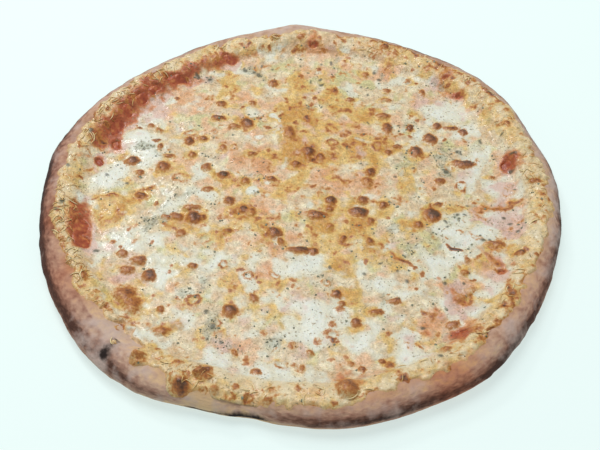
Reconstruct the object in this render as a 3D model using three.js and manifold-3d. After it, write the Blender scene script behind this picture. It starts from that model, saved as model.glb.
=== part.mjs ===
// A whole four cheese pizza: a round of yeasted dough with a puffed rim, a thin spread of
// tomato sauce that shows in a ring beside the rim, and a blistered layer of melted cheese.
// Millimetres, +Z up, standing on z = 0 with the middle of its outline on the Z axis.
import * as THREE from "three";
import { mergeVertices } from "three/addons/utils/BufferGeometryUtils.js";
import Module from "manifold-3d";

// ---- Driving dimensions ----

const RIM_RADIUS = 160.5; // from the middle to the outside of the rim, before its swellings
const RIM_TOP = 17; // height of the rim's crest
const RIM_FOOT = 36; // the rim's inner slope reaches the flat floor this far in from the edge
const DOUGH_FLOOR = 5; // thickness of the baked dough under the sauce
const SAUCE_THICKNESS = 1.3;
const SAUCE_EDGE_SLANT = 0.4; // how far its upper edge is set in from its lower one
const CHEESE_THICKNESS = 2.3;
const CHEESE_EDGE_THICKNESS = 0.9; // where the cheese runs out on the rim's slope
const CHEESE_THICKENING = 10; // how far in from that edge the cheese has its full thickness
const LAYER_GAP = 0.4; // between the faces of two layers
const SEGMENTS = 120; // sectors round the pizza
const RING_GROWTH = 6; // corners that each ring of the cheese's top has more than the last
const CHEESE_RINGS = SEGMENTS / RING_GROWTH;
const WELD = 1e-4; // corners closer than this are one

// Half the section of the dough, as [distance in from the edge, height]: from the foot on
// the oven floor, round the outer wall and over the crest.
const OUTER_SECTION = [
  [9, 0],
  [5, 0.6],
  [2.2, 1.8],
  [1.5, 3.2],
  [1.0, 4.6],
  [0.2, 6.4],
  [0, 8.4],
  [0.8, 10.8],
  [2.6, 13.2],
  [5.4, 15.4],
  [9, 16.7],
];
// The rest of that section: from the crest down the inner slope to the flat floor.
const INNER_SECTION = [
  [13, RIM_TOP],
  [17, 15.9],
  [20.5, 13.6],
  [23.5, 10.9],
  [28, 7.4],
  [RIM_FOOT, DOUGH_FLOOR],
];
const SLOPE_STEPS = [23.5, 28]; // where the layers on the slope bend with the dough
const LEAST_STEP = 0.5; // between one such bend and the next

// What varies round the rim, as [angle, angle to each side, millimetres]. Angles are in
// degrees, counted from +X (the right) towards +Y (the back).
const SWELLINGS = [
  [0, 9, -0.6],
  [18, 8, -1.4],
  [39, 13, 3],
  [67, 12, 0.6],
  [92, 6, 3],
  [132, 15, -2],
  [165, 9, 3],
  [188, 8, -1],
  [228, 12, 4.3],
  [251, 7, -3.6],
  [260, 5, -4.4],
  [268, 7, -2.5],
  [285, 9, 0.7],
  [297, 12, 0.5],
  [308, 9, 3],
  [340, 14, -2.6],
];
const PUFFS = [
  [15, 14, 1],
  [58, 12, -1.4],
  [92, 8, 3],
  [118, 16, -1],
  [150, 12, 1],
  [187, 9, 1.4],
  [225, 16, -2.6],
  [259, 5, -4],
  [285, 14, 0.8],
  [312, 10, 1.6],
  [335, 9, -1],
];
const PUFF_FADE = 18; // from here in, the puffs die out towards the rim's foot
const BREADTHS = [
  [30, 14, -2],
  [90, 9, 2],
  [225, 15, 5],
  [262, 10, -3],
  [310, 12, 3],
  [352, 12, -3],
];
// Stretches where a fold of the dough leaves a crease low in the outer wall.
const CREASES = [
  [221, 13, 1.8],
  [284, 19, 2.2],
];
const CREASE_HEIGHT = 4.2;
const CREASE_HALF_WIDTH = 1.6;

// How far in from the edge the layers end, and the stretches where the cheese stops short
// and leaves the sauce bare.
const SAUCE_INSET = 22;
const CHEESE_INSET = 23;
const BARE_SAUCE = [
  [10, 5, 4],
  [45, 6, 5],
  [108, 10, 6],
  [126, 12, 7],
  [146, 12, 8],
  [165, 8, 5],
  [190, 8, 7],
  [309, 6, 5],
  [335, 6, 4],
];
const SAUCE_CLIMB = 0.3; // share of a bare stretch by which its sauce reaches up the slope

// Soft mounds and hollows of the cheese, as [x, y, radius, height].
const MOUNDS = [
  [-122, 18, 13, 0.8],
  [-92, 90, 12, 1.2],
  [-110, 56, 10, 0.6],
  [-112, -50, 12, 0.8],
  [-75, 2, 13, 0.6],
  [-55, -62, 11, 0.6],
  [-51, -94, 8, 0.6],
  [-22, 62, 11, 0.5],
  [-23, -59, 9, -0.5],
  [-20, -128, 12, 0.6],
  [-8, -50, 12, 0.6],
  [5, -92, 12, 0.5],
  [8, 20, 20, -0.5],
  [26, -60, 12, -0.4],
  [70, -38, 10, 1.3],
  [85, -66, 9, 0.6],
  [92, -26, 13, 0.8],
  [101, -48, 9, 0.7],
  [112, 70, 12, 0.8],
  [118, -20, 8, 0.8],
];
// Three slow waves cross the cheese: along x, along y, and a lower one askew of both.
const WAVE_HEIGHT = 0.35;
const WAVE_LENGTHS = [68, 81, 57];
const WAVE_STARTS = [1, Math.PI / 2, 2];
const ASKEW_WAVE_SHARE = 0.5;

// Blisters of the cheese, as [x, y, length along x, length along y].
const BLISTERS = [
  [-119, -12, 18, 24],
  [-97, -77, 15, 13],
  [-88, 25, 8, 11],
  [-108, 30, 8, 7],
  [-98, 0, 8, 7],
  [-101, -58, 9, 5],
  [-95, -51, 8, 6],
  [-88, -62, 7, 8],
  [-77, -101, 9, 6],
  [-76, -17, 8, 7],
  [-74, 15, 10, 8],
  [-73, 48, 7, 8],
  [-65, -18, 8, 9],
  [-61, -80, 8, 9],
  [-60, 25, 6, 7],
  [-58, -34, 7, 7],
  [-55, 69, 8, 6],
  [-53, 84, 7, 5],
  [-49, 18, 6, 7],
  [-44, -4, 7, 7],
  [-40, -87, 9, 8],
  [-36, 65, 8, 9],
  [-19, 104, 7, 6],
  [-16, -30, 8, 8],
  [-8, 56, 7, 11],
  [-3, 28, 7, 6],
  [-1, -43, 13, 6],
  [5, 38, 8, 9],
  [9, -16, 12, 8],
  [14, -67, 6, 6],
  [18, -4, 6, 7],
  [20, -75, 6, 6],
  [20, 47, 7, 6],
  [31, -95, 6, 7],
  [35, -13, 10, 8],
  [38, -3, 6, 7],
  [43, 16, 7, 12],
  [49, 43, 7, 8],
  [53, -88, 6, 8],
  [55, 72, 9, 6],
  [57, 60, 6, 10],
  [74, 38, 8, 9],
  [80, -16, 8, 9],
  [84, 49, 8, 8],
  [89, 62, 6, 7],
  [100, 7, 8, 8],
  [97, -73, 12, 11],
  [103, 27, 14, 7],
  [106, 56, 6, 7],
];
// Larger bubbles that rose where cheese lies on the rim, measured the same way.
const RIM_BUBBLES = [
  [-88, -120, 10, 8],
  [-65, -135, 11, 10],
  [-54, -131, 7, 7],
  [24, -144, 11, 10],
  [144, 8, 9, 7],
];
const BLISTER_BASE_HEIGHT = 0.8; // a blister's height is this and a share of its breadth
const BLISTER_HEIGHT_SHARE = 0.17;
const BLISTER_ROOT = 0.9; // how far its foot is sunk in the cheese
const BUBBLE_ROOT = 3; // the same, for the bubbles on the sloping rim
const BLISTER_SIDES = 8;
// Half the section of a blister, as shares of its half breadth and of its height.
const BLISTER_SECTION = [
  [1, 0],
  [0.74, 0.68],
];

// ---- Form of the rim ----

const { radToDeg, euclideanModulo, smoothstep } = THREE.MathUtils;

const bell = (x) => Math.exp(-x * x);

// The sum of a list's swellings at one angle, in millimetres.
function around(angle, list) {
  return list.reduce((sum, [centre, spread, size]) => {
    const away = euclideanModulo(radToDeg(angle) - centre + 180, 360) - 180;
    return sum + size * bell(away / spread);
  }, 0);
}

const edgeRadius = (angle) => RIM_RADIUS + around(angle, SWELLINGS);
const rimBreadth = (angle) => 1 + around(angle, BREADTHS) / RIM_FOOT;
const rimLift = (angle, inset) =>
  1 + (around(angle, PUFFS) / RIM_TOP) * (1 - smoothstep(inset, PUFF_FADE, RIM_FOOT));

// The radius at a distance in from the edge, measured on the section above.
const radiusAt = (angle, inset) => edgeRadius(angle) - inset * rimBreadth(angle);

// The dough's upper surface between two points of the inner slope.
function doughTop(angle, inset) {
  const next = INNER_SECTION.findIndex(([end]) => end >= inset);
  if (next < 0) return DOUGH_FLOOR;
  const [from, high] = INNER_SECTION[Math.max(next - 1, 0)];
  const [to, low] = INNER_SECTION[next];
  const share = to > from ? (inset - from) / (to - from) : 0;
  return (high + (low - high) * share) * rimLift(angle, inset);
}

function crease(angle, inset, height) {
  if (inset > OUTER_SECTION[0][0]) return 0;
  return around(angle, CREASES) * bell((height - CREASE_HEIGHT) / CREASE_HALF_WIDTH);
}

// ---- Closed bodies ----

// Turns a section round the axis. section(angle) lists [radius, height] from the bottom of
// the axis to its top, with the same number of points at every angle.
function turnedBody(section) {
  const rings = section(0).map(([radius, height]) => new THREE.Vector2(radius, height));
  const geometry = new THREE.LatheGeometry(rings, SEGMENTS);
  const position = geometry.getAttribute("position");
  for (let i = 0; i <= SEGMENTS; i++) {
    const angle = (2 * Math.PI * (i % SEGMENTS)) / SEGMENTS;
    section(angle).forEach(([radius, height], j) => {
      const x = radius * Math.cos(angle);
      const y = radius * Math.sin(angle);
      position.setXYZ(i * rings.length + j, x, y, height);
    });
  }
  return geometry;
}

// The middle of the outline's box, so that the finished pizza can be centred on the axis.
const outlineBox = new THREE.Box2();
for (let i = 0; i < SEGMENTS; i++) {
  const angle = (2 * Math.PI * i) / SEGMENTS;
  const radius = edgeRadius(angle);
  outlineBox.expandByPoint(
    new THREE.Vector2(radius * Math.cos(angle), radius * Math.sin(angle)),
  );
}
const middle = outlineBox.getCenter(new THREE.Vector2());

// ---- Booleans ----

const wasm = await Module();
wasm.setup();

function toSolid(geometry) {
  const bare = geometry.clone();
  bare.deleteAttribute("normal");
  bare.deleteAttribute("uv");
  const merged = mergeVertices(bare, WELD);
  return new wasm.Manifold(
    new wasm.Mesh({
      numProp: 3,
      vertProperties: new Float32Array(merged.getAttribute("position").array),
      triVerts: new Uint32Array(merged.index.array),
    }),
  );
}

function toGeometry(solid) {
  const mesh = solid.getMesh();
  const geometry = new THREE.BufferGeometry();
  const position = new THREE.BufferAttribute(mesh.vertProperties, mesh.numProp);
  geometry.setAttribute("position", position);
  geometry.setIndex(new THREE.BufferAttribute(mesh.triVerts, 1));
  geometry.computeVertexNormals();
  return geometry;
}

// A low oval dome with its foot sunk by root below the given height.
function blister([x, y, long, wide], height, root) {
  const rise = BLISTER_BASE_HEIGHT + BLISTER_HEIGHT_SHARE * Math.min(long, wide);
  const section = [
    new THREE.Vector2(0, -root),
    new THREE.Vector2(1, -root),
    ...BLISTER_SECTION.map(([share, up]) => new THREE.Vector2(share, up * rise)),
    new THREE.Vector2(0, rise),
  ];
  const dome = new THREE.LatheGeometry(section, BLISTER_SIDES);
  dome.rotateX(Math.PI / 2);
  dome.scale(long / 2, wide / 2, 1);
  dome.translate(x, y, height);
  return toSolid(dome);
}

// ---- Crust: baked dough, the floor and the rim in one ----

function crustSection(angle) {
  const wall = OUTER_SECTION.map(([inset, height]) => [
    radiusAt(angle, inset) - crease(angle, inset, height),
    height * rimLift(angle, inset),
  ]);
  const slope = INNER_SECTION.map(([inset]) => [
    radiusAt(angle, inset),
    doughTop(angle, inset),
  ]);
  return [[0, 0], ...wall, ...slope, [0, DOUGH_FLOOR]];
}

// The inset of a point on the rim, the inverse of radiusAt.
function insetAt(x, y) {
  const angle = Math.atan2(y, x);
  return [angle, (edgeRadius(angle) - Math.hypot(x, y)) / rimBreadth(angle)];
}

function crustGeometry() {
  const bubbles = RIM_BUBBLES.map((bubble) => {
    const [angle, inset] = insetAt(bubble[0], bubble[1]);
    return blister(bubble, doughTop(angle, inset), BUBBLE_ROOT);
  });
  const body = toSolid(turnedBody(crustSection));
  return toGeometry(bubbles.reduce((all, bubble) => all.add(bubble), body));
}

// ---- Tomato sauce: a thin spread that bends up the rim's slope ----

// Steps along the slope from a layer's edge down to the flat floor.
function slopeSteps(edge) {
  const steps = SLOPE_STEPS.map((step, i) => Math.max(step, edge + LEAST_STEP * (i + 1)));
  return [edge, ...steps, Math.max(RIM_FOOT, edge + LEAST_STEP * (steps.length + 1))];
}

const bareSauce = (angle) => around(angle, BARE_SAUCE);
const sauceBottom = (angle, inset) => doughTop(angle, inset) + LAYER_GAP;
const sauceTop = (angle, inset) => sauceBottom(angle, inset) + SAUCE_THICKNESS;
const sauceEdge = (angle) => SAUCE_INSET - SAUCE_CLIMB * bareSauce(angle);

function sauceSection(angle) {
  const insets = slopeSteps(sauceEdge(angle));
  const under = insets.map((inset) => [radiusAt(angle, inset), sauceBottom(angle, inset)]);
  const over = insets.map((inset, i) => {
    const upper = i === 0 ? inset + SAUCE_EDGE_SLANT : inset;
    return [radiusAt(angle, upper), sauceTop(angle, upper)];
  });
  const floor = [0, DOUGH_FLOOR + LAYER_GAP];
  return [floor, ...under.reverse(), ...over, [0, floor[1] + SAUCE_THICKNESS]];
}

// ---- Cheese: one melted layer, with mounds, hollows and blisters ----

const cheeseEdge = (angle) => CHEESE_INSET + bareSauce(angle);
const cheeseBottom = (angle, inset) => sauceTop(angle, inset) + LAYER_GAP;

const wave = (i, along) => Math.sin((2 * Math.PI * along) / WAVE_LENGTHS[i] + WAVE_STARTS[i]);

function relief(x, y) {
  const waves = wave(0, x) * wave(1, y) + ASKEW_WAVE_SHARE * wave(2, x + y);
  return MOUNDS.reduce(
    (sum, [mx, my, radius, height]) =>
      sum + height * bell(Math.hypot(x - mx, y - my) / radius),
    WAVE_HEIGHT * waves,
  );
}

function cheeseTop(x, y) {
  const [angle, inset] = insetAt(x, y);
  const edge = cheeseEdge(angle);
  const body = smoothstep(inset, edge, edge + CHEESE_THICKENING);
  const thin = CHEESE_EDGE_THICKNESS;
  const full = CHEESE_THICKNESS + relief(x, y);
  return cheeseBottom(angle, inset) + thin + (full - thin) * body;
}

function cheeseGeometry() {
  const corners = [];
  const faces = [];
  const topStart = [];
  for (let ring = 0; ring <= CHEESE_RINGS; ring++) {
    topStart.push(corners.length);
    const count = Math.max(RING_GROWTH * ring, 1);
    for (let i = 0; i < count; i++) {
      const angle = (2 * Math.PI * i) / count;
      const reach = radiusAt(angle, cheeseEdge(angle)) - CHEESE_EDGE_THICKNESS / 2;
      const radius = (reach * ring) / CHEESE_RINGS;
      const x = radius * Math.cos(angle);
      const y = radius * Math.sin(angle);
      corners.push([x, y, cheeseTop(x, y)]);
    }
  }
  const top = (ring, i) => topStart[ring] + (ring ? i % (RING_GROWTH * ring) : 0);
  for (let ring = 1; ring <= CHEESE_RINGS; ring++) {
    for (let side = 0; side < RING_GROWTH; side++) {
      for (let i = 0; i < ring; i++) {
        const outer = side * ring + i;
        const inner = side * (ring - 1) + i;
        faces.push([top(ring, outer), top(ring, outer + 1), top(ring - 1, inner)]);
        if (i < ring - 1) {
          faces.push([top(ring, outer + 1), top(ring - 1, inner + 1), top(ring - 1, inner)]);
        }
      }
    }
  }
  const underStart = corners.length;
  const bands = slopeSteps(CHEESE_INSET).length;
  for (let i = 0; i < SEGMENTS; i++) {
    const angle = (2 * Math.PI * i) / SEGMENTS;
    for (const inset of slopeSteps(cheeseEdge(angle))) {
      const radius = radiusAt(angle, inset);
      const height = cheeseBottom(angle, inset);
      corners.push([radius * Math.cos(angle), radius * Math.sin(angle), height]);
    }
  }
  const centre = corners.push([0, 0, cheeseBottom(0, RIM_RADIUS)]) - 1;
  const under = (i, band) => underStart + (i % SEGMENTS) * bands + band;
  for (let i = 0; i < SEGMENTS; i++) {
    faces.push([top(CHEESE_RINGS, i), under(i, 0), under(i + 1, 0)]);
    faces.push([top(CHEESE_RINGS, i), under(i + 1, 0), top(CHEESE_RINGS, i + 1)]);
    for (let band = 1; band < bands; band++) {
      faces.push([under(i, band - 1), under(i, band), under(i + 1, band)]);
      faces.push([under(i, band - 1), under(i + 1, band), under(i + 1, band - 1)]);
    }
    faces.push([under(i, bands - 1), centre, under(i + 1, bands - 1)]);
  }
  const layer = new THREE.BufferGeometry();
  layer.setAttribute("position", new THREE.Float32BufferAttribute(corners.flat(), 3));
  layer.setIndex(faces.flat());
  const blisters = BLISTERS.map((place) =>
    blister(place, cheeseTop(place[0], place[1]), BLISTER_ROOT),
  );
  return toGeometry(blisters.reduce((all, dome) => all.add(dome), toSolid(layer)));
}

// ---- The pizza ----

const pizza = new THREE.Group();

function addLayer(name, geometry, color, roughness) {
  const material = new THREE.MeshStandardMaterial({ color, roughness, metalness: 0 });
  const mesh = new THREE.Mesh(geometry, material);
  mesh.name = name;
  mesh.position.set(-middle.x, -middle.y, 0);
  pizza.add(mesh);
}

addLayer("crust", crustGeometry(), 0xc79c77, 0.8);
addLayer("tomato_sauce", turnedBody(sauceSection), 0x97422a, 0.45);
addLayer("cheese", cheeseGeometry(), 0xe3d3ae, 0.45);

export default pizza;
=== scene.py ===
import itertools
import math

import bmesh
import bpy
import numpy as np
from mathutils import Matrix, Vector


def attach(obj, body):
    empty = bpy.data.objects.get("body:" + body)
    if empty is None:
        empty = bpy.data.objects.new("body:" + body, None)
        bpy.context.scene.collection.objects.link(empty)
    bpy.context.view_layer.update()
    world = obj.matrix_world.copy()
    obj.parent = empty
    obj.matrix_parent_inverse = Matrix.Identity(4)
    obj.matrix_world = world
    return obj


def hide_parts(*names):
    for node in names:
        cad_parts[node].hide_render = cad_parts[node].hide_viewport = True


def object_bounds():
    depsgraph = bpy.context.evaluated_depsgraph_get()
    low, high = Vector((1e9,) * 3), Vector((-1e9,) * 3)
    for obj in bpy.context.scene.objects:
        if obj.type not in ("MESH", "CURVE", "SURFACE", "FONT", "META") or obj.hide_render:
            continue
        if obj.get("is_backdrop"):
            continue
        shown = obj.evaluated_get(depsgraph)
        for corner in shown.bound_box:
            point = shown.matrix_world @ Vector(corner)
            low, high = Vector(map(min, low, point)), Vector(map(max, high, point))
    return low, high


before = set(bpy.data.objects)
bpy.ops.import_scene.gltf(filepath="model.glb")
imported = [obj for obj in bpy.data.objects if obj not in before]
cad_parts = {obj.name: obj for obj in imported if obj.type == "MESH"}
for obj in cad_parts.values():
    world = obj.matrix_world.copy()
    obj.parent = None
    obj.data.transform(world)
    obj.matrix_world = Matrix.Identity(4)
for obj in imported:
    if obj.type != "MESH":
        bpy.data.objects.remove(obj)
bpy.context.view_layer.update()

# ---- Camera ----
# The photograph looks down on the pizza from the front, a little over half a metre away.
CAMERA_ELEVATION = math.radians(49.5)
CAMERA_DISTANCE = 0.6
CAMERA_AIM = Vector((0.0001, -0.0178, 0.0))
LENS_MM = 58.5
SENSOR_MM = 36.0

camera_data = bpy.data.cameras.new("camera")
camera_data.lens = LENS_MM
camera_data.sensor_width = SENSOR_MM
camera = bpy.data.objects.new("camera", camera_data)
sight = Vector((0.0, math.cos(CAMERA_ELEVATION), -math.sin(CAMERA_ELEVATION)))
camera.location = CAMERA_AIM - CAMERA_DISTANCE * sight
camera.rotation_euler = sight.to_track_quat("-Z", "Y").to_euler()
bpy.context.scene.collection.objects.link(camera)
bpy.context.scene.camera = camera

# ---- Floor and light ----
# A plain pale light table under an even, slightly cool studio light: a bright surround, one
# large soft lamp above and a smaller one that puts the small glints on wet cheese.
MM = 0.001  # metres in a millimetre
FLOOR_COLOUR = "#effffd"
FLOOR_PAINT = "#9aa3a1"
FLOOR_GLOW = 0.62
FLOOR_HALF = 15.0  # metres
SURROUND_COLOUR = "#f6ffff"
SURROUND_STRENGTH = 0.45
LAMPS = [  # name, place, breadth, watts
    ("high_soft_lamp", Vector((-0.2, 0.3, 1.3)), 0.9, 10.0),
    ("glint_lamp", Vector((-0.45, 0.75, 0.9)), 0.2, 3.0),
]


def linear(hex_colour):
    """The linear RGBA of an sRGB hex colour."""
    shares = [int(hex_colour[i : i + 2], 16) / 255 for i in (1, 3, 5)]
    return [s / 12.92 if s <= 0.04045 else ((s + 0.055) / 1.055) ** 2.4 for s in shares] + [1.0]


def add(tree, kind, settings=None, sockets=None):
    """Adds a node. A socket, by name or by place, takes a value, an output, or a node's first output."""
    node = tree.nodes.new(kind)
    for name, value in (settings or {}).items():
        setattr(node, name, value)
    for name, value in (sockets or {}).items():
        socket = next(s for i, s in enumerate(node.inputs) if name in (i, s.name) and s.enabled)
        if isinstance(value, bpy.types.Node):
            value = next(s for s in value.outputs if s.enabled)
        if isinstance(value, bpy.types.NodeSocket):
            tree.links.new(value, socket)
        else:
            socket.default_value = value
    return node


def new_material(name):
    """An empty material; its tree takes nodes by add()."""
    material = bpy.data.materials.new(name)
    material.use_nodes = True
    material.node_tree.nodes.clear()
    return material


def end_surface(tree, sockets):
    """Ends a material's tree with its one shader."""
    shader = add(tree, "ShaderNodeBsdfPrincipled", {}, sockets)
    add(tree, "ShaderNodeOutputMaterial", {}, {"Surface": shader})


def mesh_object(name, corners_mm, faces, material, attributes=None):
    """A smooth mesh object at the origin from corners in millimetres."""
    mesh = bpy.data.meshes.new(name)
    mesh.vertices.add(len(corners_mm))
    mesh.vertices.foreach_set("co", (np.asarray(corners_mm) * MM).astype(np.float32).ravel())
    faces = np.asarray(faces, dtype=np.int32)
    corners_each = faces.shape[1]
    mesh.loops.add(faces.size)
    mesh.loops.foreach_set("vertex_index", faces.ravel())
    mesh.polygons.add(len(faces))
    mesh.polygons.foreach_set("loop_start", np.arange(0, faces.size, corners_each, dtype=np.int32))
    mesh.polygons.foreach_set("use_smooth", np.ones(len(faces), dtype=bool))
    for attribute, values in (attributes or {}).items():
        layer = mesh.attributes.new(attribute, "FLOAT", "POINT")
        layer.data.foreach_set("value", np.asarray(values, dtype=np.float32))
    mesh.update(calc_edges=True)
    mesh.validate()
    mesh.materials.append(material)
    made = bpy.data.objects.new(name, mesh)
    bpy.context.scene.collection.objects.link(made)
    return made


# Matt milky board lit from below as well, so that shadows on it stay faint.
floor_paint = new_material("matt_lit_board")
end_surface(floor_paint.node_tree, {
    "Base Color": linear(FLOOR_PAINT), "Roughness": 1.0, "Specular IOR Level": 0.0,
    "Emission Color": linear(FLOOR_COLOUR), "Emission Strength": FLOOR_GLOW})
floor_signs = ((-1, -1), (1, -1), (1, 1), (-1, 1))
floor_corners = [[x * FLOOR_HALF / MM, y * FLOOR_HALF / MM, 0] for x, y in floor_signs]
floor = mesh_object("floor", floor_corners, [[0, 1, 2, 3]], floor_paint)
floor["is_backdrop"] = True

surround = bpy.data.worlds.new("surround")
surround.use_nodes = True
surround.node_tree.nodes.clear()
surround_light = add(surround.node_tree, "ShaderNodeBackground", {}, {
    "Color": linear(SURROUND_COLOUR), "Strength": SURROUND_STRENGTH})
add(surround.node_tree, "ShaderNodeOutputWorld", {}, {"Surface": surround_light})
bpy.context.scene.world = surround
bpy.context.scene.view_settings.view_transform = "Standard"

for lamp_name, lamp_place, lamp_breadth, lamp_watts in LAMPS:
    lamp_data = bpy.data.lights.new(lamp_name, "AREA")
    lamp_data.shape = "DISK"
    lamp_data.size = lamp_breadth
    lamp_data.energy = lamp_watts
    lamp = bpy.data.objects.new(lamp_name, lamp_data)
    lamp.location = lamp_place
    lamp.rotation_euler = (-lamp_place).to_track_quat("-Z", "Y").to_euler()
    bpy.context.scene.collection.objects.link(lamp)

# ---- Crust ----
# The round of yeasted wheat dough, stretched by hand and baked on the oven's floor: a thin flat
# middle and a puffed rim, tan on its crest, mauve brown (partly painted shade) and floury down
# its side, and scorched where it stood nearest the fire. Millimetres; angles from +X towards +Y.
RIM_RADIUS = 160.5
RIM_TOP = 17.0
RIM_FOOT = 36.0
BREADTH_END = RIM_FOOT + 4  # how far in the rim's uneven breadth counts
DOUGH_FLOOR = 5.0
# The dough's section from the middle of its underside round the rim to the middle of its top,
# as inset from the edge and height.
UNDERSIDE = [(150, 0), (90, 0), (40, 0)]
OUTER_SECTION = [(9, 0), (5, 0.6), (2.2, 1.8), (1.5, 3.2), (1.0, 4.6), (0.2, 6.4), (0, 8.4),
                 (0.8, 10.8), (2.6, 13.2), (5.4, 15.4), (9, 16.7)]
INNER_SECTION = [(13, RIM_TOP), (17, 15.9), (20.5, 13.6), (23.5, 10.9), (28, 7.4),
                 (RIM_FOOT, DOUGH_FLOOR)]
TOP_SIDE = [(60, DOUGH_FLOOR), (110, DOUGH_FLOOR), (150, DOUGH_FLOOR)]
# Where the edge stands out or in, and the rim higher or lower: angle, its spread, millimetres.
SWELLINGS = [(0, 9, -0.6), (18, 8, -1.4), (39, 13, 3), (67, 12, 0.6), (92, 6, 3), (132, 15, -2),
             (165, 9, 3), (188, 8, -1), (228, 12, 4.3), (251, 7, -3.6), (260, 5, -4.4),
             (268, 7, -2.5), (285, 9, 0.7), (297, 12, 0.5), (308, 9, 3), (340, 14, -2.6)]
PUFFS = [(15, 14, 1), (58, 12, -1.4), (92, 8, 3), (118, 16, -1), (150, 12, 1), (187, 9, 1.4),
         (225, 16, -2.6), (259, 5, -4), (285, 14, 0.8), (312, 10, 1.6), (335, 9, -1)]
PUFF_FADE = 18
# Where the rim is broader or narrower, and where its foot is creased: angle, its spread, millimetres.
BREADTHS = [(30, 14, -2), (90, 9, 2), (225, 15, 5), (262, 10, -3), (310, 12, 3), (352, 12, -3)]
CREASES = [(221, 13, 1.8), (284, 19, 2.2)]
CREASE_HEIGHT = 4.2
CREASE_HALF_WIDTH = 1.6
RIM_BUBBLES = [(-88, -120, 10, 8), (-65, -135, 11, 10), (-54, -131, 7, 7), (24, -144, 11, 10),
               (144, 8, 9, 7)]  # x, y, length along x, length along y
BUBBLE_RISE = 0.8
BUBBLE_RISE_SHARE = 0.17  # more for each millimetre of its breadth
BUBBLE_ROUNDNESS = 0.7
BUBBLE_FOOT = 6  # bubbles show above this height
TURN_STEPS = 1000
SECTION_STEPS = 4
DOUGH_LUMPS = [(34, 0.7), (12, 0.5), (5, 0.22), (2.2, 0.1)]  # breadth, height
LUMPS_FROM = (0.2, 3.5)  # heights between which the lumps begin
LUMPS_TO = (26, 32)  # insets between which they end
HASH_FACTORS = (73856093, 19349663, 83492791)
HASH_STEP = 1274126177
SEED_SHIFT = np.array([17.3, 5.7, 11.1])
NOISE_GAIN = 1.6
# Scorched places of the side and crest: angle, its spread, height, its spread, amount.
SCORCHES = [(171, 5, 9, 5, 1.0), (160, 5, 8, 4, 0.8), (190, 8, 8, 5, 1.2), (181, 3, 12, 3, 0.8),
            (176, 2.5, 14, 2, 0.6), (209, 4, 9.5, 2, 0.3), (228, 1.8, 12.5, 2, 0.9),
            (219, 5, 10, 1.6, 0.3), (236, 4, 10.5, 1.6, 0.6), (243, 3, 11, 1.6, 0.5),
            (250, 6, 4, 2.2, 0.8), (259, 6, 6, 3, 1.3), (272, 4, 8.5, 1.8, 0.7),
            (282, 8, 10, 1.6, 0.7), (292, 6, 9.5, 1.8, 0.5), (312, 8, 11, 2, 0.4),
            (314, 6, 3, 1.4, 0.7), (345, 10, 9.5, 3, 0.4), (318, 5, 12, 2, 0.4)]
SCORCH_INSET = 16  # on top of the rim, no scorch further in than this
SCORCH_PATCHINESS = 0.5
# How much darker or paler a stretch is baked than the rest: angle, its spread, amount.
BAKES = [(150, 12, 0.2), (166, 9, 0.5), (181, 9, 0.9), (193, 7, 0.9), (210, 8, -0.1),
         (225, 6, -0.5), (239, 6, -0.6), (250, 6, -1.2), (260, 6, -0.8), (270, 6, -0.4),
         (280, 8, -0.15), (292, 6, -0.15), (302, 7, -0.45), (316, 7, 0.5), (331, 9, -0.35),
         (2, 10, -0.15), (45, 22, 0.1), (90, 9, 0.15)]
# How much darker the side is than the crest, partly from browner baking and partly painted shade where
# the side turns from the light: height, amount.
SIDE_BAKE_AND_SHADE = [(0, 0), (4, 0), (6.5, 0.12), (9, 0.7), (11, 1.0), (12.2, 0.9), (13.5, 0.5),
              (15, 0.2), (17, 0)]
BAKE = 0.2
CREST_BAKE_SHARE = 0.3  # how much of a stretch's darkness shows away from the side
BAKE_PATCHES = 0.16
BAKE_WRINKLES = 0.14
PATCH_GRAINS = [(22, 11), (7, 12)]  # breadth, seed
WRINKLE_GRAIN = (4, 13)  # breadth, seed
WRINKLE_LAYERS = np.array([1, 1, 2.6])  # wrinkles run along the rim
# Stretches with more flour left on them: angle, its spread, amount.
FLOURS = [(5, 18, 0.6), (92, 14, 0.9), (125, 18, 0.5), (150, 10, 0.4), (192, 9, -0.8),
          (210, 8, -1.0), (225, 7, 0.8), (290, 10, 0.2), (302, 7, -0.8), (316, 7, 0.4),
          (331, 7, -0.3)]
# Stretches browned redder, with the cheese's fat baked into them: angle, its spread, amount.
RUDDY = [(172, 9, 0.5), (190, 9, 0.8), (208, 8, 0.7), (280, 14, 0.4), (301, 7, 0.9),
         (318, 7, 0.2), (331, 9, 0.3), (150, 10, 0.3)]
RUDDY_PATCHINESS = 0.8
# How far in from the edge the cheese's lap over the rim ends. Its fat soaks the dough there.
LAP_INSET = 11.5
LAPS = [(0, 20, -4), (35, 18, -4.5), (66, 14, -4), (92, 7, 3), (118, 14, -3), (146, 14, -3.5),
        (166, 6, 3), (186, 12, -1.5), (207, 8, 3), (227, 10, 10), (246, 7, -4.5), (260, 9, -7),
        (274, 9, -4), (290, 14, -0.5), (318, 14, -0.5)]  # angle, its spread, millimetres
FAT_SPREAD = 3.2
FAT_EVENNESS = 0.7
WALL_TOP = 8  # below this height the side counts as the edge itself
WALL_SHIFT = 40  # more than the wall's insets


def bell(x):
    return np.exp(-x * x)


def smoothstep(x, low, high):
    share = np.clip((x - low) / (high - low), 0, 1)
    return share * share * (3 - 2 * share)


def turned_from(angle, centre):
    """How far angles are from a centre, in degrees either way."""
    return np.mod(angle - centre + 180, 360) - 180


def around(angle, swellings):
    """The sum of a list's swellings at angles in degrees."""
    total = np.zeros_like(angle, dtype=float)
    for centre, spread, size in swellings:
        total += size * bell(turned_from(angle, centre) / spread)
    return total


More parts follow.
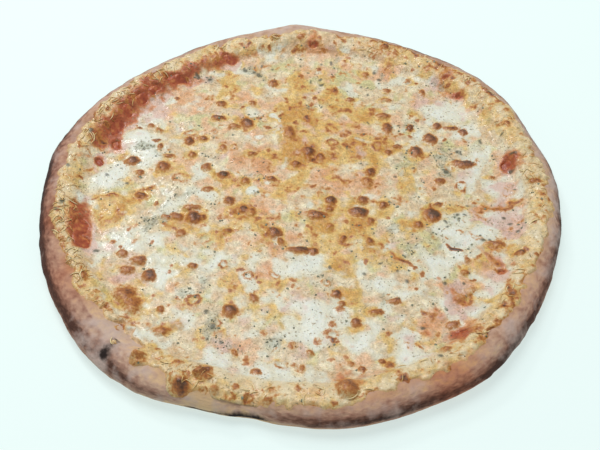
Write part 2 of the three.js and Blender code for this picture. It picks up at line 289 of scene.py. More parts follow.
def smooth_line(points, steps):
    """A smooth line through the points, with as many steps between each two."""
    p = np.array([points[0], *points, points[-1]], dtype=float)
    t = np.linspace(0, 1, steps, endpoint=False)[:, None]
    runs = []
    for a, b, c, d in zip(p, p[1:], p[2:], p[3:]):
        runs.append(b + (c - a) * t / 2 + (2 * a - 5 * b + 4 * c - d) * t**2 / 2
                    + (3 * b - a - 3 * c + d) * t**3 / 2)
    return np.concatenate([*runs, p[-1:]])


def noise(points, breadth, seed):
    """Smooth noise from about -1 to 1, with lumps of the given breadth, at an array of points."""
    at = points / breadth + seed * SEED_SHIFT
    cell = np.floor(at).astype(np.int64)
    part = at - cell
    ease = part**3 * (part * (part * 6 - 15) + 10)
    total = np.zeros(len(points))
    for corner in itertools.product((0, 1), repeat=3):
        lattice = (cell + corner).astype(np.uint64)
        key = np.zeros(len(points), dtype=np.uint64)
        for axis, factor in enumerate(HASH_FACTORS):
            key ^= lattice[:, axis] * np.uint64(factor)
        slope = np.empty((len(points), 3))
        for axis in range(3):
            key = (key ^ (key >> np.uint64(13))) * np.uint64(HASH_STEP)
            key &= np.uint64(0xFFFFFFFF)
            slope[:, axis] = key / 2147483648.0 - 1
        weight = np.prod(np.where(corner, ease, 1 - ease), axis=1)
        total += weight * np.sum(slope * (part - corner), axis=1)
    return total * NOISE_GAIN


def edge_radius(angle):
    return RIM_RADIUS + around(angle, SWELLINGS)


def rim_breadth(angle):
    return 1 + around(angle, BREADTHS) / RIM_FOOT


def rim_lift(angle, inset):
    return 1 + around(angle, PUFFS) / RIM_TOP * (1 - smoothstep(inset, PUFF_FADE, RIM_FOOT))


def polar(radius, angle, height):
    """Corners at radii, angles in degrees and heights."""
    return np.stack([radius * np.cos(np.radians(angle)), radius * np.sin(np.radians(angle)),
                     np.broadcast_to(height, radius.shape)], axis=-1)


def turned_solid(grid, ends):
    """Corners and faces of rows of TURN_STEPS corners, closed round and by a fan at both ends."""
    row, step = np.meshgrid(np.arange(len(grid) - 1), np.arange(TURN_STEPS), indexing="ij")
    after = (step + 1) % TURN_STEPS
    here, above = row * TURN_STEPS, (row + 1) * TURN_STEPS
    fours = np.stack([here + step, here + after, above + after, above + step], axis=-1).reshape(-1, 4)
    corners = np.concatenate([grid.reshape(-1, 3), ends])
    last = len(corners) - 1
    step, after = step[0], after[0]
    top = (len(grid) - 1) * TURN_STEPS
    faces = np.concatenate([fours[:, [0, 1, 2]], fours[:, [0, 2, 3]],
                            np.stack([after, step, np.full_like(step, last - 1)], axis=-1),
                            np.stack([top + step, top + after, np.full_like(step, last)], axis=-1)])
    return corners, faces


crest_line = smooth_line(OUTER_SECTION[-4:] + INNER_SECTION, SECTION_STEPS * 2)


def dough_top(angle, inset):
    """The height of the dough's upper face, before its lumps."""
    return np.interp(inset, crest_line[:, 0], crest_line[:, 1]) * rim_lift(angle, inset)


def dough_lumps(points):
    """How far the dough's skin stands out or in at points of its smooth form."""
    return sum(height * noise(points, breadth, seed)
               for seed, (breadth, height) in enumerate(DOUGH_LUMPS, 1))


def bubbles(x, y):
    """How far the gas bubbles of the rim stand out at x, y."""
    total = np.zeros_like(x)
    for bx, by, long, wide in RIM_BUBBLES:
        away = np.hypot((x - bx) / (long / 2), (y - by) / (wide / 2))
        rise = BUBBLE_RISE + BUBBLE_RISE_SHARE * min(long, wide)
        total += rise * np.clip(1 - away**2, 0, 1) ** BUBBLE_ROUNDNESS
    return total


turn = np.arange(TURN_STEPS) * 360 / TURN_STEPS
outline = polar(edge_radius(turn), turn, 0)
MIDDLE = (outline.max(axis=0) + outline.min(axis=0)) / 2

section = smooth_line(OUTER_SECTION + INNER_SECTION, SECTION_STEPS)
section = np.concatenate([UNDERSIDE, section, TOP_SIDE])
inset, height = (column[:, None] for column in section.T)
outer = (np.arange(len(section)) < len(UNDERSIDE) + SECTION_STEPS * len(OUTER_SECTION))[:, None]
breadth = np.where(inset < BREADTH_END, rim_breadth(turn)[None], 1)
crease = np.where(outer, around(turn, CREASES) * bell((height - CREASE_HEIGHT) / CREASE_HALF_WIDTH), 0)
radius = edge_radius(turn)[None] - inset * breadth - crease
lift = np.where(inset > RIM_FOOT, 1, rim_lift(turn[None], np.where(outer, 0, inset)))
dough = polar(radius, turn, height * lift)
along = np.roll(dough, -1, axis=1) - np.roll(dough, 1, axis=1)
across = np.gradient(dough, axis=0)
facing = np.cross(along, across)
facing /= np.maximum(np.linalg.norm(facing, axis=-1, keepdims=True), 1e-9)
loose = smoothstep(dough[..., 2], *LUMPS_FROM)
loose *= 1 - smoothstep(np.where(outer, 0, inset), *LUMPS_TO)
swell = dough_lumps(dough.reshape(-1, 3)).reshape(radius.shape) * loose
swell += bubbles(dough[..., 0], dough[..., 1]) * (height > BUBBLE_FOOT)
dough = dough + facing * swell[..., None]
dough[..., 2] = np.maximum(dough[..., 2], 0)
corners, faces = turned_solid(dough, [[0, 0, 0], [0, 0, DOUGH_FLOOR]])

scorch = np.zeros(radius.shape)
for centre, spread, level, level_spread, amount in SCORCHES:
    beside = bell(turned_from(turn[None], centre) / spread)
    scorch += amount * beside * bell((dough[..., 2] - level) / level_spread)
grain_at = dough.reshape(-1, 3)
patchy = sum(noise(grain_at, *grain) * 0.5 for grain in PATCH_GRAINS).reshape(radius.shape)
wrinkled = noise(grain_at * WRINKLE_LAYERS, *WRINKLE_GRAIN).reshape(radius.shape)
# The side is darker than the crest, partly from browner baking and partly painted shade where the side
# turns from the light.
side = np.where(outer, np.interp(dough[..., 2], *zip(*SIDE_BAKE_AND_SHADE)), 0)
bake_and_shade = BAKE + side + around(turn, BAKES)[None] * (CREST_BAKE_SHARE + (1 - CREST_BAKE_SHARE) * side)
bake_and_shade = bake_and_shade + patchy * BAKE_PATCHES + wrinkled * BAKE_WRINKLES
scorch = scorch * (1 + SCORCH_PATCHINESS * patchy)
crest_inset = np.where(outer, np.maximum(inset - WALL_SHIFT * (height < WALL_TOP), 0), inset)
lap_end = (LAP_INSET + around(turn, LAPS))[None]
crust_fields = {
    "bake_and_shade": bake_and_shade,
    "scorch": np.where(outer, scorch, scorch * (inset < SCORCH_INSET)),
    "flour": np.broadcast_to(around(turn, FLOURS), radius.shape),
    "ruddy": around(turn, RUDDY) * (1 + RUDDY_PATCHINESS * patchy),
    "fat": bell((crest_inset - lap_end) / FAT_SPREAD) * (FAT_EVENNESS + patchy),
}
crust_fields = {name: np.append(values.ravel(), [0, 0]) for name, values in crust_fields.items()}

# Baked wheat dough with flour on it: matt, finely pitted, tan where the fire shone on it, mauve
# brown lower down from browning and painted shade, nearly black where it scorched. Grains in
# millimetres; a span is the part of a field, or of a field and its noise, over which a colour comes in.
DOUGH_COLOURS = [(0.0, "#d4b18a"), (0.25, "#c19f89"), (0.5, "#a27c6a"), (0.75, "#775547"),
                 (1.0, "#51352b")]
DOUGH_SPAN = (0.4, 1.45)
DOUGH_RAGGEDNESS = 0.9
FLOUR_COLOUR = "#c0aba2"
FLOUR_SPAN = (0.48, 0.74)
FLOUR_MOST = 0.75
FLOUR_WEIGHT = 0.2
FAT_COLOUR = "#b98d58"
FAT_SPAN = (0.2, 1.1)
FAT_MOST = 0.35
RUDDY_TINT = "#f0c9b8"
SCORCH_COLOUR = "#241815"
SCORCH_SPAN = (0.55, 1.35)
SCORCH_RAGGEDNESS = 0.6
DOUGH_GRAIN = 1.6
FLOUR_GRAIN = 8
WRINKLE_BREADTH = 3.4
WRINKLE_SQUEEZE = 3.5
WRINKLE_DEPTH = 0.9
PORE_BREADTH = 2.4
PORE_DEPTH = 0.5


def field_of(tree, name):
    """A field that the mesh carries, read in its material."""
    return add(tree, "ShaderNodeAttribute", {"attribute_name": name}).outputs["Fac"]


def grainy(tree, place, grain, detail):
    """Noise in a material, with lumps of the given breadth in millimetres."""
    return add(tree, "ShaderNodeTexNoise", {}, {
        "Vector": place, "Scale": 1 / (grain * MM), "Detail": detail})


def plus(tree, value, weight, other):
    """A value times its weight, plus another."""
    return add(tree, "ShaderNodeMath", {"operation": "MULTIPLY_ADD"}, {0: value, 1: weight, 2: other})


def ranged(tree, value, span, most=1.0, least=0.0, ease="LINEAR"):
    """A value's way through a span, as a number from least to most."""
    low, high = span
    return add(tree, "ShaderNodeMapRange", {"interpolation_type": ease}, {
        "Value": value, "From Min": low, "From Max": high, "To Min": least, "To Max": most})


def mixed(tree, factor, under, over, blend="MIX"):
    """One colour over another, each a hex colour or an output."""
    under, over = (linear(colour) if isinstance(colour, str) else colour for colour in (under, over))
    return add(tree, "ShaderNodeMix", {"data_type": "RGBA", "blend_type": blend}, {
        "Factor": factor, "A": under, "B": over})


def ramped(tree, factor, colours):
    """A ramp through hex colours, each with its place on it."""
    ramp = add(tree, "ShaderNodeValToRGB", {}, {"Fac": factor})
    while len(ramp.color_ramp.elements) < len(colours):
        ramp.color_ramp.elements.new(0.5)
    for element, (at, hex_colour) in zip(ramp.color_ramp.elements, colours):
        element.position = at
        element.color = linear(hex_colour)
    return ramp


def dented(tree, height, strength, depth, below=None):
    """Dents as deep as the given millimetres, on a smooth surface or on the dents below."""
    sockets = {"Strength": strength, "Distance": depth * MM, "Height": height}
    if below is not None:
        sockets["Normal"] = below
    return add(tree, "ShaderNodeBump", {}, sockets)


dough_skin = new_material("baked_floured_dough")
tree = dough_skin.node_tree
place = add(tree, "ShaderNodeTexCoord").outputs["Object"]
fine = grainy(tree, place, DOUGH_GRAIN, 4.0)
coarse = grainy(tree, place, FLOUR_GRAIN, 4.0)
layered = add(tree, "ShaderNodeVectorMath", {"operation": "MULTIPLY"}, {
    0: place, 1: (1, 1, WRINKLE_SQUEEZE)})
wrinkles = grainy(tree, layered, WRINKLE_BREADTH, 5.0)
pores = add(tree, "ShaderNodeTexVoronoi", {}, {
    "Vector": place, "Scale": 1 / (PORE_BREADTH * MM), "Randomness": 1.0})
# This field carries painted shade down the side as well as the browning.
baked = plus(tree, wrinkles, DOUGH_RAGGEDNESS, field_of(tree, "bake_and_shade"))
colour = ramped(tree, ranged(tree, baked, DOUGH_SPAN), DOUGH_COLOURS)
dusting = plus(tree, field_of(tree, "flour"), FLOUR_WEIGHT, coarse)
colour = mixed(tree, ranged(tree, dusting, FLOUR_SPAN, FLOUR_MOST), colour, FLOUR_COLOUR)
soaked = ranged(tree, field_of(tree, "fat"), FAT_SPAN, FAT_MOST)
colour = mixed(tree, soaked, colour, FAT_COLOUR)
reddened = ranged(tree, field_of(tree, "ruddy"), (0, 1))
colour = mixed(tree, reddened, colour, RUDDY_TINT, "MULTIPLY")
charred = plus(tree, fine, SCORCH_RAGGEDNESS, field_of(tree, "scorch"))
charred = ranged(tree, charred, SCORCH_SPAN, ease="SMOOTHSTEP")
colour = mixed(tree, charred, colour, SCORCH_COLOUR)
pitted = dented(tree, pores.outputs["Distance"], 0.35, PORE_DEPTH)
pitted = dented(tree, wrinkles, 0.7, WRINKLE_DEPTH, pitted)
end_surface(tree, {
    "Base Color": colour, "Roughness": 0.82, "Specular IOR Level": 0.25, "Normal": pitted})

crust = mesh_object("pizza_crust", corners - MIDDLE, faces, dough_skin, crust_fields)
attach(crust, "root")
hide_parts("crust")

# ---- Tomato sauce ----
# Crushed tomato ladled on the raw dough and spread thin. It shows red brown beside the rim,
# where the cheese drew back, and its oil turns the edges of those gaps orange.
SAUCE_INSET = 22
SAUCE_FILM_INSET = 16.5
SAUCE_SEEN_TO = 46  # further in the cheese hides it, so it needs no lumps
SAUCE_SEEN_ROWS = 40
SAUCE_HIDDEN_INSETS = [60, 80, 105, 135, 150]
SAUCE_THICKNESS = 1.3
SAUCE_FILM = 0.1
SAUCE_SINK = 2.2  # how deep the film's outer edge lies in the dough
LAYER_GAP = 0.4
SAUCE_BACK = [(227, 17, 10), (285, 22, 5), (10, 20, 3)]  # where the spread stops short of the rim
SAUCE_LUMPS = [(6, 0.35), (2.4, 0.2)]

insets = np.linspace(SAUCE_FILM_INSET, SAUCE_SEEN_TO, SAUCE_SEEN_ROWS)
insets = np.concatenate([insets, SAUCE_HIDDEN_INSETS])[:, None]
breadth = np.where(insets < BREADTH_END, rim_breadth(turn)[None], 1)
radius = edge_radius(turn)[None] - insets * breadth
film_end = SAUCE_FILM_INSET + around(turn, SAUCE_BACK)[None]
laid = smoothstep(insets, film_end, film_end + SAUCE_INSET - SAUCE_FILM_INSET)
level = dough_top(turn[None], insets) + LAYER_GAP * laid - SAUCE_SINK * (1 - laid)
under = polar(radius, turn, level)
lumpy = sum(height * noise(under.reshape(-1, 3), breadth_mm, seed)
            for seed, (breadth_mm, height) in enumerate(SAUCE_LUMPS, 21)).reshape(radius.shape)
lumpy = lumpy * (insets < SAUCE_SEEN_TO) * (insets > SAUCE_FILM_INSET)
over = under.copy()
over[..., 2] += SAUCE_FILM + SAUCE_THICKNESS * laid + lumpy
bed = DOUGH_FLOOR + LAYER_GAP
middles = [[0, 0, bed], [0, 0, bed + SAUCE_THICKNESS]]
corners, faces = turned_solid(np.concatenate([under[::-1], over]), middles)

# Cooked tomato pulp under a film of oil: wet, so its gloss is sharp and slightly broken.
SAUCE_COLOURS = [(0.3, "#8a3a22"), (0.5, "#a8502f"), (0.7, "#c98148")]
CLOT_BREADTH = 3.5
PULP_GRAIN = 1.4
PULP_DEPTH = 0.6
pulp = new_material("cooked_tomato_pulp")
tree = pulp.node_tree
place = add(tree, "ShaderNodeTexCoord").outputs["Object"]
clots = grainy(tree, place, CLOT_BREADTH, 5.0)
rippled = dented(tree, grainy(tree, place, PULP_GRAIN, 3.0), 0.7, PULP_DEPTH)
end_surface(tree, {
    "Base Color": ramped(tree, clots, SAUCE_COLOURS), "Roughness": 0.3, "Specular IOR Level": 0.5,
    "Normal": rippled})

sauce = mesh_object("tomato_sauce_spread", corners - MIDDLE, faces, pulp)
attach(sauce, "root")
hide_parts("tomato_sauce")

# ---- Melted cheese ----
# Four cheeses melted into one layer: white mozzarella, a beige hard cheese, a blue one and
# an oily yellow one. It laps over the rim, draws back from the sauce in places, and has
# blistered brown under the fire. One surface of rings, six more corners on each.
CHEESE_RINGS = 176
RING_SIDES = 6
CLOSING_SHARES = (0.97, 0.88, 0.8, 0.6, 0.3)  # rings of the hidden underside, as shares of the reach
CHEESE_THICKNESS = 2.3
CHEESE_EDGE_THICKNESS = 0.9
CHEESE_INSET = 23
CHEESE_THICKENING = 10
OUTER_INSET = 4.2
RUNS = [(245.5, 3.2, 3.2)]  # where the cheese ran further down the side
LAP_THICKNESS = 1.0
LAP_FOOT = 15  # from here in it thickens, to lie over the sauce
LAP_WANDER = 3.5
LAP_FRAY = 2.2
LAP_RISE = 3
LAP_SINK = 0.7  # how deep it lies in the dough beyond the lap's end
PUFF_HEIGHT = 2.2
PUFF_EVENNESS = 0.45
PUFF_MOST = 0.5
PUFF_SINK = 0.2
PUFFS_TO = (19, 26)  # insets between which the lap's wrinkles end
CHEESE_SINK = 2.0  # how deep the cheese's hidden underside lies in the dough near the rim
BARE_SAUCE = [(10, 5, 4), (45, 6, 5), (112, 6, 2), (126, 12, 7), (146, 12, 8), (165, 8, 5),
              (190, 8, 7), (309, 6, 5), (335, 6, 4)]
# Where the lap's seams are toasted: angle, its spread, amount.
SEAM_TOASTS = [(318, 20, 0.7), (25, 25, 0.4), (60, 15, 0.5), (135, 20, 0.4), (200, 20, 0.1),
               (270, 15, 0.1)]
# Where the lap is more wrinkled than elsewhere: angle, its spread, share.
WRINKLED_LAPS = [(318, 30, 0.6), (30, 35, 0.4)]
# Where the lap's outer edge is toasted: angle, its spread, amount.
EDGE_TOASTS = [(28, 10, 0.7), (60, 13, 0.95), (135, 14, 0.4), (316, 10, 0.5), (192, 16, 0.5),
               (345, 10, 0.2), (238, 7, -0.3), (262, 12, -0.3)]
ISLANDS = [(-86, -122, 7), (-64, -140, 8), (-51, -134, 7), (24, -143, 9), (-102, -111, 4),
           (-37, -145, 6), (-124, -67, 5)]  # x, y, breadth of a blistered patch out on the rim
ISLAND_REACH = 14
MOUNDS = [(-122, 18, 13, 0.8), (-92, 90, 12, 1.2), (-110, 56, 10, 0.6), (-112, -50, 12, 0.8),
          (-75, 2, 13, 0.6), (-55, -62, 11, 0.6), (-51, -94, 8, 0.6), (-22, 62, 11, 0.5),
          (-23, -59, 9, -0.5), (-20, -128, 12, 0.6), (-8, -50, 12, 0.6), (5, -92, 12, 0.5),
          (8, 20, 20, -0.5), (26, -60, 12, -0.4), (70, -38, 10, 1.3), (85, -66, 9, 0.6),
          (92, -26, 13, 0.8), (101, -48, 9, 0.7), (112, 70, 12, 0.8), (118, -20, 8, 0.8)]
WAVE_HEIGHT = 0.35
WAVES = [(68, 1.0), (81, math.pi / 2), (57, 2.0)]  # length, where it starts
ASKEW_WAVE_SHARE = 0.5
CHEESE_LUMPS = [(15, 0.35), (6.5, 0.26), (2.8, 0.14)]
# The cheese's noises, as breadth and seed. Drifts and pulls push a place aside, so far at most.
CURDS = (3.6, 41)
WOBBLE = (4.0, 42)
SLOW = (11.0, 43)
PUFFING = (6.5, 63)
DRIFTS = [(4.6, 44), (4.6, 45)]
DRIFT = 1.8
PULLS = [(9, 46), (9, 47)]
PULL = 3.0
# A blister's dome, and the shallow moat of oil round it. Here a place is told by how far it is
# from the middle, where 1 is the dome's edge.
DOME_REACH = 0.55  # of its breadth, each way
DOME_RISE = 0.7
DOME_RISE_SHARE = 0.15  # more for each millimetre of its breadth
DOME_ROUNDNESS = 0.8
DOME_UNEVENNESS = 0.18
DOME_TOAST_TO = (0.45, 1.65)
MOAT_AT = 1.3
MOAT_WIDTH = 0.25
MOAT_DEPTH = 0.3
MOAT_GOLD = 0.6
# A crater, told the same way, and the small dots and strokes.
CRATER_RIM_AT = 0.85
CRATER_RIM_WIDTH = 0.28
CRATER_RIM_HEIGHT = 0.6
CRATER_PIT = 0.5
CRATER_DEPTH = 0.4
DOT_HEIGHT = 0.25
DOT_TO = (0.4, 2.0)  # in its half breadths
STROKE_HEIGHT = 0.4
STROKE_TO = (0.1, 1.1)  # in its breadths
FAR = 1e9  # further from a stroke than anything
# Blisters, as x, y, length along x, length along y, and how dark each is toasted.
BLISTERS = [
    (-100, -76, 12, 11, 0.75), (-95, -84, 9, 12, 0.65), (-88, 25, 8, 9, 0.8),
    (-108, 30, 8, 7, 0.95), (-102, 20, 5, 4, 0.75), (-99, 1, 7, 5, 0.95), (-94, 7, 4, 3, 0.9),
    (-101, -58, 9, 5, 0.7), (-95, -51, 8, 6, 0.75), (-105, -46, 6, 5, 0.7), (-88, -62, 7, 8, 0.95),
    (-77, -101, 9, 6, 0.7), (-76, -17, 8, 6, 0.75), (-82, -17, 5, 4, 0.7), (-73, 48, 6, 7, 0.95),
    (-65, -18, 8, 9, 1.0), (-60, -17, 4.5, 4.5, 0.8), (-60, 25, 6, 7, 0.7), (-55, 70, 8, 5, 0.95),
    (-54, 84, 7, 5, 0.8), (-45, -142, 5, 5, 0.5), (-18, -148, 7, 3.5, 0.55), (-49, 18, 6, 6, 1.2),
    (-44, -4, 6.5, 6.5, 0.95), (-40, -87, 8, 8, 1.0), (-36, 65, 8, 9, 1.0), (-44, 62, 8, 5, 0.65),
    (-19, 105, 7, 6, 0.8), (-16, -30, 8, 8, 0.9), (-12, -37, 4, 5, 0.75), (-8, 56, 7, 11, 0.75),
    (-3, 28, 7, 6, 0.85), (-1, -43, 13, 5, 1.0), (8, -44, 5, 4, 0.9), (5, 39, 8, 8, 1.0),
    (5, 33, 6, 5, 0.6), (9, -16, 12, 7, 0.85), (18, -4, 6, 7, 1.0), (17, -11, 4.5, 5, 0.75),
    (20, -75, 6, 6, 1.0), (23, -82, 5, 4, 0.65), (31, -95, 5, 7, 0.85), (42, -88, 7, 4, 0.75),
    (35, -13, 9.5, 8, 1.0), (42, -20, 4.5, 5, 0.8), (38, -3, 6, 6.5, 0.85), (44, 20, 6, 6.5, 0.95),
    (42, 12, 6, 7, 0.65), (51, -8, 5.5, 5.5, 0.8), (53, -80, 7, 4, 0.75), (55, 72, 9, 5, 0.75),
    (57, 60, 5.5, 10, 0.95), (74, 38, 8, 8.5, 0.95), (80, -16, 8, 9, 1.15), (84, -7, 6, 3, 0.9),
    (84, 50, 8, 8, 0.95), (90, 62, 5, 6, 0.9), (98, 60, 9, 3, 0.9), (106, 56, 5, 6, 1.0),
    (103, 27, 13, 7, 0.95), (97, -73, 7, 6, 0.35), (73, 106, 4, 5, 0.6), (33, 88, 6, 4, 0.75),
    (72, 60, 4.5, 5.5, 1.0), (56, 38, 4.5, 5, 0.85), (62, 43, 4.5, 3.5, 0.85),
    (13, 34, 4.5, 7, 0.9), (-35, 13, 5.5, 6, 0.7), (-19, 15, 7, 4, 0.85), (-31, 36, 6, 4, 0.75),
    (-51, 42, 5, 5, 0.7), (-70, 36, 5.5, 5.5, 0.8), (-63, 51, 5, 4, 0.85), (-58, 5, 6, 4, 0.7),
    (-33, 84, 5, 5, 0.7), (-35, -12, 6, 6, 1.0), (-30, -13, 5, 7, 0.65), (-67, -10, 10, 5, 0.6),
    (-72, -30, 7, 5, 0.65), (-44, -28, 5, 4, 0.8), (-63, -55, 4.5, 4, 0.8), (-79, -86, 3.5, 6, 0.7),
    (-27, -78, 5, 6, 0.65), (17, -25, 5, 6, 0.6), (25, -35, 4, 4.5, 0.85), (41, -37, 4.5, 6, 0.8),
    (71, -24, 5, 5, 0.8), (87, 12, 6, 5, 0.85), (120, 16, 5, 3, 0.6), (-99, 63, 4, 3, 0.7),
    (-106, 60, 4, 3, 0.8), (-93, 58, 6, 5, 0.65), (-94, 49, 5, 3, 0.9), (-91, 43, 4, 5, 0.8),
    (-85, 35, 6, 3, 0.8), (-68, -97, 6, 5, 0.3), (-36, -115, 3, 4, 0.65), (-24, -128, 5, 4, 0.8),
    (0, -125, 4, 5, 0.65), (5, -115, 5, 4, 0.55), (43, -121, 4, 3, 0.8), (47, -124, 4, 5, 0.75),
    (27, -122, 4, 4, 0.6), (33, -126, 4, 3, 0.8), (78, -117, 6, 5, 0.65), (115, -39, 10, 5, 0.75),
    (127, -49, 6, 4, 0.95), (90, -78, 6, 6, 0.4), (95, -60, 5, 4, 0.6), (97, -52, 3, 5, 0.55),
    (84, -97, 8, 5, 0.75), (58, 87, 10, 4, 0.6), (83, 94, 4, 6, 0.75), (58, 97, 5, 3, 0.7),
    (45, 113, 6, 5, 0.6), (134, 55, 4, 6, 0.7), (59, 135, 6, 5, 0.9), (-18, 144, 7, 5, 0.6),
    (144, 4, 8, 3, 0.75), (-51, -132, 8, 9, 0.85), (-63, -140.5, 8, 7, 1.05),
    (24, -141, 11, 12, 0.8), (-87, -123, 8, 8, 0.55), (-124, -67, 4, 6, 0.7),
    (-55, -133, 3.5, 3.5, 0.75),
]
# Blisters that burst or sank, so that a toasted ring stands round a pale middle.
CRATERS = [
    (-119, -12, 18, 22, 0.18), (-72, 55, 8, 6, 0.75), (-57, 57, 4, 5, 0.5),
    (-43, 42, 4.5, 4.5, 0.6), (-75, 15, 10, 8, 0.6), (-37, -14, 11, 11, 0.45),
    (-58, -34, 7, 7, 0.45), (-46, -33, 6, 8, 0.4), (-15, -62, 5.5, 5.5, 0.6),
    (-31, -62, 5.5, 5.5, 0.65), (-45, -54, 5.5, 5.5, 0.55), (-61, -80, 8, 9, 0.75),
    (-47, -96, 5, 5, 0.6), (20, 47, 7, 6, 0.7), (49, 43, 7, 8, 0.7), (14, -67, 6, 6, 0.55),
    (100, 8, 8, 8, 0.7), (95, 24, 6, 6, 0.4), (-37, -145, 5.5, 5.5, 0.7), (-11, -122, 6, 7, 0.5),
    (-22, 62, 22, 20, 0.14), (96, -106, 6, 6, 0.6), (17, -103, 7, 8, 0.5), (-100, -99, 5, 5, 0.8),
    (-87, -123, 9, 8, 0.7), (128, 3, 8, 8, 0.4), (-66, -134, 5, 5, 0.6), (-60, -134, 5, 5, 0.6),
    (-51, -142, 5, 5, 0.5), (-66, -114, 6, 5, 0.4), (-66, -126, 4.5, 4.5, 0.45),
    (-27, -145, 6, 6, 0.6), (-14, -141, 6, 4.5, 0.4), (-1, -140, 6, 4.5, 0.4),
]
# Small flat scorched specks and dots: x, y, breadth, how dark.
DOTS = [
    (-13, 72, 2.4, 1), (-7, 79, 2.4, 1), (-4, 66, 2.6, 1), (-21, 61, 2.2, 1), (-27, 69, 2, 1),
    (-21, 40, 2.6, 1), (64, 62, 1.8, 1.2), (30, 42, 2, 1.2), (5, 78, 2, 1.2), (14, 80, 2, 1.2),
    (71, 23, 1.8, 1.2), (60, 17, 1.8, 1.2), (44, 64, 1.8, 1.2), (66, 54, 2.6, 0.9),
    (71, 53, 2.6, 0.9), (77, 68, 2.6, 0.9), (55, 50, 3, 0.9), (28, 54, 3.6, 0.8), (31, 57, 3, 0.8),
    (41, 55, 3.4, 0.9), (48, 78, 4.4, 0.75), (47, 74, 3.6, 0.75), (22, 33, 3.6, 0.8),
    (47, 8, 2.6, 0.8), (8, 9, 3.8, 0.85), (83, 6, 3.4, 0.7), (-49, -18, 3.4, 0.75),
    (-26, -63, 2.2, 1), (-23, -66, 2.2, 1), (-35, -58, 2.2, 1), (-75, -56, 2.6, 0.9),
    (-77, -59, 1.8, 1), (-5, -69, 2.2, 1), (5, -24, 3, 0.85), (30, -34, 2.6, 1), (27, -21, 3, 0.75),
    (53, -18, 2.2, 0.9), (67, -57, 3, 0.9), (70, -61, 2.6, 0.9), (47, -53, 1.8, 1.2),
    (56, -58, 1.8, 1.2), (37, -61, 1.8, 1.2), (61, -66, 2, 1.2), (82, -68, 2, 1.2),
    (17, -56, 2, 1.2), (66, -72, 2.2, 1), (38, -52, 3, 0.8), (-39, 118, 2.4, 1.2),
    (-32, 116, 2.4, 1.2), (-29, 112, 3.4, 1.2), (-20, 119, 1.8, 1.2), (-27, 122, 2, 1.1),
    (-63, 108, 2.8, 1.1), (-71, 110, 2.4, 1.1), (-83, 89, 2.8, 1), (-2, 111, 1.8, 1.2),
    (21, 125, 2, 1.1), (0, 122, 2, 1.1), (14, 124, 2, 1.1), (4, 115, 2, 1.1), (14, 109, 2, 1.1),
    (7, 106, 2, 1.1), (14, 103, 2, 1.1), (41, 101, 2, 1.1), (52, 115, 2.2, 1.3),
    (55, 108, 2.6, 1.1), (45, 93, 2.2, 1.1), (77, 114, 2.8, 0.9), (80, 104, 2.2, 1),
    (31, 126, 2.2, 1), (9, 89, 2.8, 1), (2, 91, 2.8, 1), (12, 119, 2, 1), (81, 125, 2.8, 1),
    (132, 18, 2.2, 1.2), (135, 30, 2.2, 1.1), (130, 47, 2.2, 1.1), (117, 47, 2.2, 1.1),
    (94, 50, 2, 1), (101, 38, 2, 1.1), (103, 37, 2, 1.1), (-144, -12, 4, 1.6),
    (-147, -19, 2.8, 1.2), (-149, -32, 5, 1), (-120, -45, 2.2, 1.1), (-112, -37, 3.6, 0.8),
    (-107, -41, 1.8, 1), (-88, -7, 3, 0.85), (-88, -37, 2.4, 0.9), (-99, -36, 4.4, 0.5),
    (122, -19, 2.4, 1.1), (126, -24, 2.2, 1.1), (129, -30, 2.4, 1.1), (113, -35, 2.4, 1.2),
    (109, -36, 2, 1.2), (131, -47, 2.6, 0.9), (137, -52, 2.6, 1), (139, -28, 2.6, 0.9),
    (93, -76, 2.2, 1.2), (95, -16, 2.6, 1.2), (99, -16, 1.8, 1.2), (102, -8, 1.8, 1.2),
    (88, -21, 2, 1.2), (89, -25, 2, 1.2), (93, -67, 2, 1.1), (99, -65, 2, 1), (92, -8, 1.8, 1.1),
    (-104, -111, 2.2, 1.1), (-65, -125, 3.4, 0.9), (-78, -115, 2.6, 0.8), (-34, -139, 2.6, 0.8),
    (-28, -145, 3.8, 0.65), (-30, -122, 3, 0.8), (-4, -122, 2.8, 0.7), (-5, -110, 4.4, 0.6),
    (-15, -142, 3.4, 0.6), (-2, -141, 3.6, 0.7), (-21, -102, 4, 0.6), (-52, -89, 2.4, 1.2),
    (-49, -99, 3, 1.2), (-52, -106, 2.2, 1.1), (-43, -109, 2, 1.1), (22, -86, 3.8, 0.75),
    (17, -96, 3.6, 0.75), (9, -107, 3.6, 0.75), (48, -103, 4, 0.75), (17, -151, 3, 1),
    (67, -99, 2.4, 1.2), (74, -90, 3.4, 0.8), (74, -122, 2.2, 1.2), (80, -131, 3.4, 0.9),
    (92, -132, 2.4, 1.1), (120, -99, 2.4, 1.1), (100, 97, 2.8, 0.9), (131, 77, 3.6, 0.8),
    (113, 96, 3.8, 0.85), (-95, 104, 2.8, 0.9), (-115, 90, 2.4, 0.9), (-124, 76, 2.8, 0.8),
    (-122, 17, 2.4, 1.4), (-114, 23, 1.8, 1.1), (-102, 41, 1.8, 1.1), (-108, 11, 1.8, 1.1),
    (-103, 28, 1.8, 1.1), (-127, 70, 2.6, 0.9), (-135, 50, 2.4, 1.1), (-146, 18, 2.4, 1.2),
    (-137, 12, 2.6, 1), (-41, 137, 3.4, 0.8), (-56, 132, 2.2, 0.9), (-67, 125, 3, 0.8),
    (-22, 136, 2.6, 0.8), (13, 143, 2.6, 0.8), (27, 146, 3.4, 0.8), (30, 141, 3.2, 0.8),
    (24, 139, 2.4, 0.8), (41, 139, 2.8, 0.8), (51, 141, 2.6, 0.8), (62, 129, 5, 0.6),
    (67, 129, 3.4, 0.7), (106, 48, 3.4, 0.6), (92, 21, 3.4, 1.1), (125, 71, 2.8, 0.6),
    (135, 68, 4.4, 0.65), (0, 143, 4, 0.75), (95, 114, 2.8, 0.9), (99, 112, 2.6, 0.9),
]
